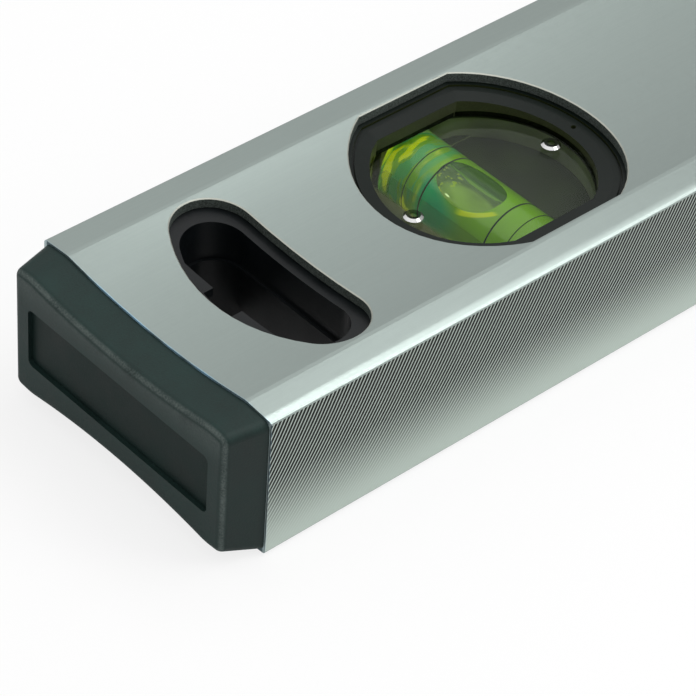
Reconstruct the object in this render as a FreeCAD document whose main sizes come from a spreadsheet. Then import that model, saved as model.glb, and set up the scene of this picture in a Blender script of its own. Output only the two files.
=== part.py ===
"""Magnetic spirit level, millimetres.

The level lies on a wide face. X runs along the beam, the measuring base looks along -Y, the
top edge along +Y, and Z = 0 is the plane that the two lower ridges rest on. X = 0 is mid-length.
"""
import FreeCAD, Part
import math
import os
import re
import Sketcher
from FreeCAD import Rotation, Vector

SIZES = [
    # whole beam
    ("overall_length", 400.0, "over both end caps"),
    ("beam_width", 60.0, "base to top edge"),
    ("beam_depth", 30.6, "ridge to ridge"),
    ("ridge_inset", 6.4, "ridge of a wide face, in from the narrow face"),
    ("ridge_land", 0.8, "flat on each ridge"),
    ("dish_depth", 1.9, "how far the wide face hollows between its ridges"),
    ("strip_drop", 0.5, "fall of the border strip from its ridge to the narrow face"),
    ("corner_radius", 0.7, "outer long corners"),
    ("wide_wall", 2.0, "wall of the wide faces"),
    ("narrow_wall", 2.8, "wall of the base and the top edge"),
    ("cut_break", 0.2, "broken edge around each cut-out"),
    ("fit_gap", 0.15, "clearance of a moulding in the beam"),
    # end caps
    ("cap_reach", 8.2, "cap beyond the sawn end"),
    ("cap_inset", 0.4, "cap outline inside the beam outline at the joint"),
    ("cap_draft", 1.8, "further inset at the cap's face, across the beam"),
    ("cap_drop", 1.75, "further inset at the cap's face, from the wide faces"),
    ("cap_rise", 1.15, "the cap's face sits this much towards the upper wide face"),
    ("cap_ridge_radius", 12.0, "softened ridges of the cap"),
    ("cap_corner_radius", 1.8, "long corners of the cap"),
    ("cap_face_radius", 1.6, "rounding around the cap's face"),
    ("plug_depth", 7.5, "plug inside the beam"),
    ("plug_wall", 2.2, "wall of the plug"),
    ("panel_length", 48.0, "recessed panel on the cap"),
    ("panel_height", 12.5, "recessed panel on the cap"),
    ("panel_depth", 0.9, "recessed panel on the cap"),
    ("panel_corner", 1.2, "recessed panel on the cap"),
    # hang hole
    ("hang_inset", 13.0, "sawn end to the bowed side of the hang hole"),
    ("hang_width", 20.0, "bowed side to straight side"),
    ("hang_margin", 7.61, "its rounded ends, in from the narrow faces"),
    ("hang_end_radius", 7.9, "rounded ends"),
    ("liner_rim", 1.6, "liner seen inside the cut-out"),
    ("liner_wall", 2.0, "tube wall of the liner"),
    ("liner_flange", 3.2, "flange beyond the cut-out, behind the wall"),
    ("liner_flange_depth", 3.0, "flange thickness at the middle of the face"),
    ("liner_rim_extra", 0.9, "wider rim at the straight side"),
    ("liner_step", 0.6, "step of the liner's inside wall"),
    ("liner_step_depth", 7.2, "step below the rim"),
    ("ledge_reach", 4.2, "ledge at the bowed side, from the cut-out"),
    ("ledge_depth", 1.8, "ledge thickness"),
    ("ledge_gap_low", -2.4, "gap in the ledge, towards the base"),
    ("ledge_gap_high", 5.2, "gap in the ledge, towards the top edge"),
    # plumb windows
    ("plumb_inset", 76.9, "sawn end to the plumb window's centre"),
    ("window_margin", 4.9, "round part of the cut-out, in from the narrow faces"),
    ("window_flat_depth", 2.5, "flats of the cut-out, inside its round part"),
    ("bezel_rim", 4.5, "bezel seen inside the cut-out"),
    ("bezel_groove_inset", 0.7, "groove of the bezel, in from the cut-out"),
    ("bezel_groove_width", 0.5, "groove of the bezel"),
    ("bezel_groove_depth", 0.45, "groove of the bezel"),
    ("bezel_slope_width", 2.6, "sloped inner part of the bezel's rim"),
    ("bezel_slope_drop", 0.25, "fall of the slope"),
    ("bezel_overlap", 2.5, "housing beyond the cut-out, along the beam"),
    ("vent_radius", 0.5, "small filling hole in the bezel"),
    ("vent_inset", 3.1, "filling hole, in from the cut-out"),
    ("vent_depth", 1.2, "filling hole"),
    ("cover_gap", 0.1, "clearance of a clear cover in its bezel"),
    ("cover_depth", 1.0, "clear cover thickness"),
    ("cover_lift", 0.1, "clear cover above the vial"),
    ("stud_inset", 3.5, "stud of the cover, in from the bezel's opening"),
    ("stud_radius", 1.9, "stud of the cover, at its foot"),
    ("stud_top_radius", 1.35, "stud of the cover, at its top"),
    ("stud_height", 0.45, "stud of the cover"),
    ("dimple_radius", 0.75, "dimple in each stud"),
    ("insert_shift", 0.7, "vial, cover and opening from the cut-out's centre, towards the sawn end"),
    ("carrier_top", 8.4, "carrier ring above the middle plane"),
    ("carrier_overlap", 1.7, "carrier ring, beyond the bezel's opening"),
    ("carrier_wall", 1.9, "carrier ring"),
    ("carrier_floor", 3.9, "carrier floor above the middle plane"),
    ("carrier_floor_depth", 1.2, "carrier floor thickness"),
    ("cradle_inset", 3.4, "cradle, in from the barrel's end"),
    ("cradle_width", 1.8, "cradle thickness"),
    ("cradle_top", 4.3, "cradle above the middle plane"),
    ("vial_lift", 1.1, "plumb vial above the middle plane"),
    # vials
    ("vial_radius", 7.6, "barrel, outside"),
    ("vial_bore_middle", 4.9, "bore radius at the middle"),
    ("vial_bore_end", 4.72, "bore radius at its ends"),
    ("plumb_end_margin", 9.6, "barrel's end, in from the narrow face"),
    ("level_end_margin", 9.0, "barrel's end, in from the housing's end"),
    ("dome_height", 0.8, "domed closed end beyond the barrel"),
    ("dome_radius", 6.7, "flat part of the domed end"),
    ("end_wall", 1.4, "wall of the closed end"),
    ("plug_grip", 2.4, "plug inside the bore"),
    ("plug_flange", 1.2, "plug outside the barrel"),
    ("plug_flange_radius", 5.6, "plug outside the barrel"),
    ("seat_gap", 0.05, "vial in its seat"),
    ("ring_inner", 8.35, "inner graduation rings from the vial's middle"),
    ("ring_outer", 12.7, "outer graduation rings from the vial's middle"),
    ("ring_width", 0.3, "inner graduation rings"),
    ("ring_outer_width", 0.16, "outer graduation rings"),
    ("ring_height", 0.08, "graduation ring above the barrel"),
    ("bubble_half_length", 8.2, "bubble along the vial"),
    ("bubble_half_width", 4.0, "bubble across the vial"),
    ("bubble_half_height", 3.0, "bubble up and down"),
    ("bubble_sink", 1.3, "bubble's middle below the top of the bore, which flattens it"),
    ("bubble_shift", 2.5, "bubble from the middle of a plumb vial"),
    # level vial in its notch at the top edge
    ("notch_half_length", 31.0, "notch along the beam"),
    ("notch_depth", 24.4, "notch floor below the top edge"),
    ("notch_corner", 7.0, "notch corners"),
    ("level_inset", 12.4, "level vial below the top edge"),
    ("level_half_housing", 36.0, "housing, centre to its end"),
    ("level_housing_depth", 27.0, "housing floor below the top edge"),
    ("level_opening_inset", 11.5, "opening, in from the housing's end"),
    ("level_opening_margin", 0.6, "opening beyond the vial's radius"),
    ("level_opening_corner", 4.0, "opening corners"),
    ("top_sink", 0.5, "housing below the top edge"),
    ("top_cover_sink", 1.1, "top cover below the housing"),
    # magnets in the base
    ("magnet_near", 50.0, "inner magnets from mid-length"),
    ("magnet_far", 74.0, "outer magnets from mid-length"),
    ("magnet_cup_radius", 6.0, "steel cup"),
    ("magnet_cup_depth", 5.0, "steel cup"),
    ("magnet_cup_wall", 1.1, "steel cup"),
    ("magnet_cup_floor", 1.4, "steel cup"),
    ("magnet_gap", 0.25, "air gap between cup and disc"),
    ("magnet_sink", 0.2, "cup below the milled base"),
    ("magnet_hole_gap", 0.05, "cup in its hole"),
    # all cuts
    ("over_cut", 1.0, "a cut or a root passes this far beyond a face"),
]

doc = FreeCAD.newDocument("spirit_level")
sheet = doc.addObject("Spreadsheet::Sheet", "sizes")
for row, (alias, size, note) in enumerate(SIZES, start=1):
    sheet.set(f"A{row}", alias)
    sheet.set(f"B{row}", str(size))
    sheet.set(f"C{row}", note)
    sheet.setAlias(f"B{row}", alias)
doc.recompute()

ALIAS = re.compile(r"\b(" + "|".join(alias for alias, _, _ in SIZES) + r")\b")
PLANES = {
    "XY": Rotation(),
    "XZ": Rotation(Vector(1, 0, 0), 90),
    "YZ": Rotation(Vector(1, 1, 1), 120),
}
pieces = []


def formula(text):
    """The text of a size or a sum of sizes, with its names looked up in the sheet."""
    return ALIAS.sub(r"sizes.\1", str(text))


def value(text):
    return float(sheet.evalExpression(formula(text)))


def bind(feature, **sizes):
    for prop, text in sizes.items():
        feature.setExpression(prop, formula(text))
    return feature


def place(feature, x="0", y="0", z="0"):
    for axis, text in (("x", x), ("y", y), ("z", z)):
        if text != "0":
            feature.setExpression(f".Placement.Base.{axis}", formula(text))
    return feature


def piece(feature, name):
    """Names a finished piece of the level."""
    feature.Label = name
    pieces.append(feature)
    return feature


# Derived places, as sums of sizes

TUBE_HALF = "(overall_length / 2 - cap_reach)"
MID = "(beam_depth / 2)"
RIDGE = "(beam_width / 2 - ridge_inset)"
PLUMB_X = f"({TUBE_HALF} - plumb_inset)"
COVER_UNDER = "(vial_radius + cover_lift)"
COVER_OVER = f"({COVER_UNDER} + cover_depth)"
HANG_BOW = (
    "(((beam_width / 2 - hang_margin - hang_end_radius) ^ 2 / (hang_width - 2 * hang_end_radius)"
    " + hang_width) / 2)"
)
WINDOW_RADIUS = "(beam_width / 2 - window_margin)"
WINDOW_FLAT = f"({WINDOW_RADIUS} - window_flat_depth)"
OPENING_RADIUS = f"({WINDOW_RADIUS} - bezel_rim)"
OPENING_FLAT = f"({WINDOW_FLAT} - bezel_rim)"
BEZEL_HALF_LENGTH = f"({WINDOW_RADIUS} + bezel_overlap)"
CARRIER_RADIUS = f"({OPENING_RADIUS} + carrier_overlap)"
CARRIER_BORE = f"({CARRIER_RADIUS} - carrier_wall)"
PLUMB_HALF_LENGTH = "(beam_width / 2 - plumb_end_margin)"
PLUMB_AXIS = f"({MID} + vial_lift)"
SEAT_TOP = f"({PLUMB_AXIS} + vial_radius + seat_gap)"
NOTCH_FLOOR = "(beam_width / 2 - notch_depth)"
LEVEL_AXIS = "(beam_width / 2 - level_inset)"
LEVEL_FLOOR = "(beam_width / 2 - level_housing_depth)"
LEVEL_HALF_LENGTH = "(level_half_housing - level_end_margin)"
LEVEL_HALF_OPENING = "(level_half_housing - level_opening_inset)"


# Sketches

def new_sketch(name, plane="XY", x="0", y="0", z="0", body=None):
    """A sketch in its own place, or on an origin plane of a body."""
    if body is None:
        sketch = doc.addObject("Sketcher::SketchObject", name)
        sketch.Placement = FreeCAD.Placement(Vector(), PLANES[plane])
        return place(sketch, x, y, z)
    sketch = body.newObject("Sketcher::SketchObject", name)
    role = f"{plane}_Plane"
    support = next(item for item in body.Origin.OriginFeatures if item.Role == role)
    sketch.AttachmentSupport = [(support, "")]
    sketch.MapMode = "FlatFace"
    for axis, text in (("x", x), ("y", y), ("z", z)):
        if text != "0":
            sketch.setExpression(f".AttachmentOffset.Base.{axis}", formula(text))
    return sketch


def tie(sketch, kind, *where, size):
    index = sketch.addConstraint(Sketcher.Constraint(kind, *where, value(size)))
    sketch.setExpression(f"Constraints[{index}]", formula(size))


def draw(sketch, path):
    """A closed outline. Each step is (x, y), or (x, y, middle_x, middle_y, radius) where the
    stretch that follows is an arc; every corner and radius is tied to the sheet."""
    corners = [Vector(value(step[0]), value(step[1]), 0) for step in path]
    stretches = []
    for index, step in enumerate(path):
        start = corners[index]
        finish = corners[(index + 1) % len(path)]
        if len(step) == 2:
            shape = Part.LineSegment(start, finish)
        else:
            shape = Part.Arc(start, Vector(value(step[2]), value(step[3]), 0), finish)
        stretch = sketch.addGeometry(shape, False)
        forward = sketch.getPoint(stretch, 1).distanceToPoint(start) < 1e-5
        stretches.append((stretch, 1 if forward else 2))
    for index, step in enumerate(path):
        stretch, first = stretches[index]
        before, before_first = stretches[index - 1]
        meet = Sketcher.Constraint("Coincident", before, 3 - before_first, stretch, first)
        sketch.addConstraint(meet)
        tie(sketch, "DistanceX", -1, 1, stretch, first, size=step[0])
        tie(sketch, "DistanceY", -1, 1, stretch, first, size=step[1])
        if len(step) == 5:
            tie(sketch, "Radius", stretch, size=step[4])
    return sketch


def draw_circle(sketch, x, y, radius):
    circle = Part.Circle(Vector(value(x), value(y), 0), Vector(0, 0, 1), value(radius))
    index = sketch.addGeometry(circle, False)
    tie(sketch, "DistanceX", -1, 1, index, 3, size=x)
    tie(sketch, "DistanceY", -1, 1, index, 3, size=y)
    tie(sketch, "Radius", index, size=radius)
    return sketch


def box_path(x0, x1, y0, y1):
    return [(x0, y0), (x1, y0), (x1, y1), (x0, y1)]


def rounded_path(x0, x1, y0, y1, corner):
    """Rectangle with round corners; the middle of each corner arc lies at 45 degrees."""
    lean = f"{corner} * {1 - math.sqrt(0.5)}"
    return [
        (f"{x0} + {corner}", y0),
        (f"{x1} - {corner}", y0, f"{x1} - {lean}", f"{y0} + {lean}", corner),
        (x1, f"{y0} + {corner}"),
        (x1, f"{y1} - {corner}", f"{x1} - {lean}", f"{y1} - {lean}", corner),
        (f"{x1} - {corner}", y1),
        (f"{x0} + {corner}", y1, f"{x0} + {lean}", f"{y1} - {lean}", corner),
        (x0, f"{y1} - {corner}"),
        (x0, f"{y0} + {corner}", f"{x0} + {lean}", f"{y0} + {lean}", corner),
    ]


def section_path(half_width, inset, land="ridge_land", rise="0"):
    """Cross-section of the beam, inset from its wide faces: each wide face rises to two ridges
    and hollows between them, and falls as a border strip to the narrow face. Rise moves it all."""
    near = f"({RIDGE} - {land} / 2)"
    far = f"({RIDGE} + {land} / 2)"
    bow = f"({near} ^ 2 + dish_depth ^ 2) / (2 * dish_depth)"
    low = f"({inset} + {rise})"
    top = f"(beam_depth - {inset} + {rise})"
    fall = f"strip_drop * ({half_width} - {far}) / (beam_width / 2 - {far})"
    path = [
        (f"-{near}", low, "0", f"{low} + dish_depth", bow),
        (near, low),
        (far, low),
        (half_width, f"{low} + {fall}"),
        (half_width, f"{top} - {fall}"),
        (far, top),
        (near, top, "0", f"{top} - dish_depth", bow),
        (f"-{near}", top),
        (f"-{far}", top),
        (f"-{half_width}", f"{top} - {fall}"),
        (f"-{half_width}", f"{low} + {fall}"),
        (f"-{far}", low),
    ]
    if land == "0":
        del path[11], path[8], path[5], path[2]
    return path


def flat_circle_path(centre, radius, flat):
    """Circle with a flat on each side, as the plumb windows have."""
    half = f"sqrt({radius} ^ 2 - {flat} ^ 2)"
    return [
        (f"{centre} - {half}", f"-{flat}"),
        (f"{centre} + {half}", f"-{flat}", f"{centre} + {radius}", "0", radius),
        (f"{centre} + {half}", flat),
        (f"{centre} - {half}", flat, f"{centre} - {radius}", "0", radius),
    ]


# a point between the ends of a hang hole's end arc, from its centre, as a share of its radius
END_LEAN = 0.3


def hang_path(side, grow="0", pull="0"):
    """D-shaped outline of the hang hole: a straight side, a bowed side towards the cap, and
    round ends tangent to both. Side is -1 at the left end of the beam and 1 at the right.
    Pull moves the straight side towards the cap."""
    bow = f"({HANG_BOW} + {grow})"
    end = f"(hang_end_radius + {grow})"
    outside = f"({TUBE_HALF} - hang_inset + {grow})"
    straight = f"({TUBE_HALF} - hang_inset - hang_width - {grow} + {pull})"
    bow_x = f"({outside} - {bow})"
    end_x = f"({straight} + {end})"
    end_y = f"sqrt(({bow} - {end}) ^ 2 - ({end_x} - {bow_x}) ^ 2)"
    touch_x = f"({bow_x} + ({end_x} - {bow_x}) * {bow} / ({bow} - {end}))"
    touch_y = f"({end_y} * {bow} / ({bow} - {end}))"
    lean_x = f"({end_x} - {end} * {END_LEAN})"
    lean_y = f"({end_y} + {end} * {math.sqrt(1 - END_LEAN ** 2)})"
    return [
        (f"{side} * {straight}", f"-{end_y}"),
        (f"{side} * {straight}", end_y, f"{side} * {lean_x}", lean_y, end),
        (f"{side} * {touch_x}", touch_y, f"{side} * {outside}", "0", bow),
        (f"{side} * {touch_x}", f"-{touch_y}", f"{side} * {lean_x}", f"-{lean_y}", end),
    ]


# Solids

def prism(name, sketch, length, back="0"):
    """Sketch extruded along its normal, and behind it where back is given."""
    block = doc.addObject("Part::Extrusion", name)
    block.Base = sketch
    block.DirMode = "Normal"
    block.Solid = True
    return bind(block, LengthFwd=length, LengthRev=back)


def join(name, *shapes):
    fuse = doc.addObject("Part::MultiFuse", name)
    fuse.Shapes = list(shapes)
    fuse.Refine = True
    return fuse


def overlap(name, *shapes):
    common = doc.addObject("Part::MultiCommon", name)
    common.Shapes = list(shapes)
    return common


def take(name, base, tool):
    cut = doc.addObject("Part::Cut", name)
    cut.Base = base
    cut.Tool = tool
    cut.Refine = True
    return cut


def mirrored(source, name, normal):
    """The same moulding for the other end or the other wide face."""
    twin = doc.addObject("Part::Mirroring", f"{name}_mirror")
    twin.Source = source
    twin.Normal = normal
    if normal.z:
        twin.setExpression(".Base.z", formula(MID))
    return piece(twin, name)


def edges_where(shape, test):
    return [f"Edge{number}" for number, edge in enumerate(shape.Edges, start=1) if test(edge)]


def along_x(edge):
    start, finish = edge.Vertexes[0].Point, edge.Vertexes[-1].Point
    run = finish - start
    return edge.Length > 0 and abs(run.x) > 0.9 * run.Length and run.Length > 1


# Beam

def notch_path():
    """Notch for the level vial, open at the top edge."""
    over = "(beam_width / 2 + narrow_wall)"
    lean = f"notch_corner * {1 - math.sqrt(0.5)}"
    return [
        ("notch_half_length", over),
        ("-notch_half_length", over),
        ("-notch_half_length", f"{NOTCH_FLOOR} + notch_corner",
         f"-notch_half_length + {lean}", f"{NOTCH_FLOOR} + {lean}", "notch_corner"),
        ("-notch_half_length + notch_corner", NOTCH_FLOOR),
        ("notch_half_length - notch_corner", NOTCH_FLOOR,
         f"notch_half_length - {lean}", f"{NOTCH_FLOOR} + {lean}", "notch_corner"),
        ("notch_half_length", f"{NOTCH_FLOOR} + notch_corner"),
    ]


def make_beam():
    body = doc.addObject("PartDesign::Body", "beam")
    section = new_sketch("beam_section", "YZ", body=body)
    draw(section, section_path("beam_width / 2", "0"))
    draw(section, section_path("(beam_width / 2 - narrow_wall)", "wide_wall"))
    extrusion = body.newObject("PartDesign::Pad", "beam_extrusion_pad")
    extrusion.Profile = section
    extrusion.Midplane = True
    bind(extrusion, Length=f"2 * {TUBE_HALF}")
    doc.recompute()

    corner = value("beam_width / 2") - 1e-3
    corners = edges_where(extrusion.Shape, lambda e: along_x(e) and abs(e.CenterOfMass.y) > corner)
    rounding = body.newObject("PartDesign::Fillet", "beam_corners")
    rounding.Base = (extrusion, corners)
    bind(rounding, Radius="corner_radius")

    cuts = new_sketch("beam_cut_outs", "XY", body=body)
    for side in (-1, 1):
        draw(cuts, hang_path(side))
        draw(cuts, flat_circle_path(f"{side} * {PLUMB_X}", WINDOW_RADIUS, WINDOW_FLAT))
    draw(cuts, notch_path())
    through = body.newObject("PartDesign::Pocket", "beam_cut_outs_pocket")
    through.Profile = cuts
    through.Type = "ThroughAll"
    through.Reversed = True

    holes = new_sketch("magnet_holes", "XZ", body=body)
    for side in (-1, 1):
        for offset in ("magnet_near", "magnet_far"):
            draw_circle(holes, f"{side} * {offset}", MID, "magnet_cup_radius + magnet_hole_gap")
    drilling = body.newObject("PartDesign::Pocket", "magnet_holes_pocket")
    drilling.Profile = holes
    drilling.Type = "ThroughAll"
    drilling.Reversed = True
    doc.recompute()

    middle, reach, flat = value(MID), value(TUBE_HALF) - 1, value(WINDOW_FLAT)

    def on_wide_face(edge):
        """Edge of a cut-out, where it meets the outside of a wide face."""
        span = edge.LastParameter - edge.FirstParameter
        along = [edge.valueAt(edge.FirstParameter + share * span) for share in (0, 0.5, 1)]
        for point in along:
            if abs(point.x) > reach or abs(abs(point.z - middle) - face_height(point.y)) > 1e-3:
                return False
        return not along_x(edge) or abs(abs(along[1].y) - flat) < 1e-3

    breaking = body.newObject("PartDesign::Chamfer", "beam_broken_edges")
    breaking.Base = (drilling, edges_where(drilling.Shape, on_wide_face))
    bind(breaking, Size="cut_break")
    return piece(body, "beam_extrusion")


def face_height(y):
    """Outside of a wide face above the middle plane, between its ridges."""
    near = value(f"({RIDGE} - ridge_land / 2)")
    dish = value("dish_depth")
    bow = (near ** 2 + dish ** 2) / (2 * dish)
    if abs(y) > near:
        return value(MID)
    return value(MID) - dish + bow - math.sqrt(bow ** 2 - y ** 2)


def inner_prism(name, start, finish):
    """What fills the beam inside, between two stations along it, with the moulding clearance."""
    section = new_sketch(f"{name}_section", "YZ", x=start)
    draw(section, section_path("(beam_width / 2 - narrow_wall - fit_gap)", "(wide_wall + fit_gap)"))
    return prism(name, section, f"{finish} - {start}")


# End caps

def make_cap():
    """Left cap: a drafted block of the beam's own section, a hollow plug and a bare panel."""
    sections = []
    stations = (
        ("0", "cap_inset", "cap_inset", "0"),
        ("cap_reach", "cap_inset + cap_draft", "cap_inset + cap_drop", "cap_rise"),
    )
    for number, (station, across, deep, rise) in enumerate(stations):
        sketch = new_sketch(f"cap_section_{number}", "YZ", x=f"-{TUBE_HALF} - {station}")
        half_width = f"(beam_width / 2 - ({across}))"
        draw(sketch, section_path(half_width, f"({deep})", land="0", rise=rise))
        sections.append(sketch)
    block = doc.addObject("Part::Loft", "cap_block")
    block.Sections = sections
    block.Solid = True
    block.Ruled = True
    doc.recompute()

    ridge = value(f"{RIDGE} + ridge_land")
    soft = doc.addObject("Part::Fillet", "cap_long_edges")
    soft.Base = block
    radii = []
    for number, edge in enumerate(block.Shape.Edges, start=1):
        if along_x(edge):
            size = "cap_ridge_radius" if abs(edge.CenterOfMass.y) < ridge else "cap_corner_radius"
            radii.append((number, value(size), value(size)))
    soft.Edges = radii
    doc.recompute()

    face_x = value(f"-{TUBE_HALF} - cap_reach") + 1e-3
    rim = doc.addObject("Part::Fillet", "cap_face_edge")
    rim.Base = soft
    rim.Edges = [
        (number, value("cap_face_radius"), value("cap_face_radius"))
        for number, edge in enumerate(soft.Shape.Edges, start=1)
        if edge.BoundBox.XMax < face_x
    ]

    plug = inner_prism("cap_plug_block", f"(-{TUBE_HALF} - over_cut)", f"(-{TUBE_HALF} + plug_depth)")
    hollow_sketch = new_sketch("cap_plug_hollow_outline", "YZ", x=f"-{TUBE_HALF}")
    draw(hollow_sketch, rounded_path(
        "-(beam_width / 2 - narrow_wall - plug_wall)", "(beam_width / 2 - narrow_wall - plug_wall)",
        "(wide_wall + dish_depth + plug_wall)", "(beam_depth - wide_wall - dish_depth - plug_wall)",
        "panel_corner"))
    hollow = prism("cap_plug_hollow", hollow_sketch, "plug_depth + over_cut")

    panel_sketch = new_sketch("cap_panel_outline", "YZ", x=f"-{TUBE_HALF} - cap_reach - over_cut")
    draw(panel_sketch, rounded_path(
        "-panel_length / 2", "panel_length / 2",
        f"({MID} + cap_rise - panel_height / 2)", f"({MID} + cap_rise + panel_height / 2)",
        "panel_corner"))
    panel = prism("cap_panel", panel_sketch, "over_cut + panel_depth")

    whole = join("cap_whole", rim, plug)
    left = piece(take("cap_left", whole, join("cap_cuts", hollow, panel)), "end_cap_left")
    mirrored(left, "end_cap_right", Vector(1, 0, 0))


# Hang-hole liners

def make_liners():
    """Left pair: a rim behind the beam's wall, a ledge with a gap at the bowed side, and a
    stepped tube down to the middle plane, where the halves meet."""
    bowed = f"(-{TUBE_HALF} + hang_inset)"
    room = inner_prism(
        "liner_room", f"({bowed} - liner_flange)", f"({bowed} + hang_width + liner_flange)")
    rim_z = "(beam_depth - wide_wall - dish_depth)"

    def outline(name, z, grow, pull="0"):
        return draw(new_sketch(f"liner_{name}_outline", z=z), hang_path(-1, grow, pull))

    tube = prism("liner_tube", outline("tube", MID, "(liner_wall - liner_rim)"), MID)
    flange_z = f"({rim_z} - liner_flange_depth)"
    flange = prism("liner_flange_plate", outline("flange", flange_z, "liner_flange"), MID)
    body = overlap("liner_body", room, join("liner_tube_and_flange", tube, flange))

    step_z = f"({rim_z} - liner_step_depth)"
    deep = prism("liner_deep_opening", outline(
        "deep", MID, "(-liner_rim - liner_step)", "liner_rim_extra"), f"{step_z} - {MID}")
    wide = prism("liner_wide_opening", outline("wide", step_z, "(-liner_rim)", "liner_rim_extra"), MID)
    ledge_sketch = new_sketch("liner_ledge_outline", z=f"{rim_z} - ledge_depth")
    end_y = "beam_width / 2"
    for low, high in ((f"-{end_y}", "ledge_gap_low"), ("ledge_gap_high", end_y)):
        draw(ledge_sketch, box_path(bowed, f"{bowed} + ledge_reach", low, high))
    shallow = take("liner_shallow_opening", wide, prism("liner_ledge", ledge_sketch, MID))
    liner = take("liner_front", body, join("liner_openings", deep, shallow))

    front = piece(liner, "hang_left_liner_front")
    back = mirrored(front, "hang_left_liner_back", Vector(0, 0, 1))
    mirrored(front, "hang_right_liner_front", Vector(1, 0, 0))
    mirrored(back, "hang_right_liner_back", Vector(1, 0, 0))


# Vials

def make_vial(name, centre, along, half_length, bubble_shift):
    """Barrel with a slightly crowned bore, its plug, graduation rings and liquid. The barrel is
    turned about its own axis, and its closed end points along +X of its own frame."""
    turn = Rotation() if along == "X" else Rotation(Vector(0, 0, 1), 90)
    x, y, z = centre

    def turned(label, path):
        sketch = new_sketch(f"{name}_{label}_outline", "XZ")
        draw(sketch, path)
        lathe = doc.addObject("Part::Revolution", f"{name}_{label}_turned")
        lathe.Source = sketch
        lathe.Axis = Vector(1, 0, 0)
        lathe.Base = Vector(0, 0, 0)
        lathe.Angle = 360
        lathe.Solid = True
        return lathe

    def set_in_place(feature):
        feature.Placement = FreeCAD.Placement(Vector(), turn)
        return place(feature, x, y, z)

    bore_start = f"(-{half_length} + plug_grip)"
    bore_finish = f"({half_length} + dome_height - end_wall)"
    half_bore = f"(({bore_finish} - {bore_start}) / 2)"
    bore_middle = f"(({bore_finish} + {bore_start}) / 2)"
    crown = "(vial_bore_middle - vial_bore_end)"
    crown_radius = f"({half_bore} ^ 2 + {crown} ^ 2) / (2 * {crown})"
    barrel = turned("tube", [
        (f"-{half_length}", "vial_bore_end"),
        (bore_start, "vial_bore_end", bore_middle, "vial_bore_middle", crown_radius),
        (bore_finish, "vial_bore_end"),
        (bore_finish, "0"),
        (f"{half_length} + dome_height", "0"),
        (f"{half_length} + dome_height", "dome_radius"),
        (half_length, "vial_radius"),
        (f"-{half_length}", "vial_radius"),
    ])
    piece(set_in_place(barrel), f"{name}_vial_tube")

    plug = turned("plug", [
        (f"-{half_length} - plug_flange", "0"),
        (bore_start, "0"),
        (bore_start, "vial_bore_end"),
        (f"-{half_length}", "vial_bore_end"),
        (f"-{half_length}", "plug_flange_radius"),
        (f"-{half_length} - plug_flange", "plug_flange_radius"),
    ])
    piece(set_in_place(plug), f"{name}_vial_plug")

    filling = turned("filling", [
        (bore_start, "0"),
        (bore_finish, "0"),
        (bore_finish, "vial_bore_end", bore_middle, "vial_bore_middle", crown_radius),
        (bore_start, "vial_bore_end"),
    ])
    bubble = doc.addObject("Part::Ellipsoid", f"{name}_bubble")
    bind(bubble, Radius1="bubble_half_height", Radius2="bubble_half_length",
         Radius3="bubble_half_width")
    bubble.Angle1 = -90
    bubble.Angle2 = 90
    place(bubble, bubble_shift, "0", "vial_bore_middle - bubble_sink")
    liquid = take(f"{name}_liquid", filling, bubble)
    piece(set_in_place(liquid), f"{name}_vial_liquid")

    rings = []
    for side in (-1, 1):
        for offset, width in (("ring_inner", "ring_width"), ("ring_outer", "ring_outer_width")):
            station = f"({side} * {offset})"
            rings.append(turned(f"ring_{len(rings) + 1}", box_path(
                f"{station} - {width} / 2", f"{station} + {width} / 2",
                "vial_radius", "vial_radius + ring_height")))
    piece(set_in_place(join(f"{name}_rings", *rings)), f"{name}_vial_rings")


# Plumb vial units

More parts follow.
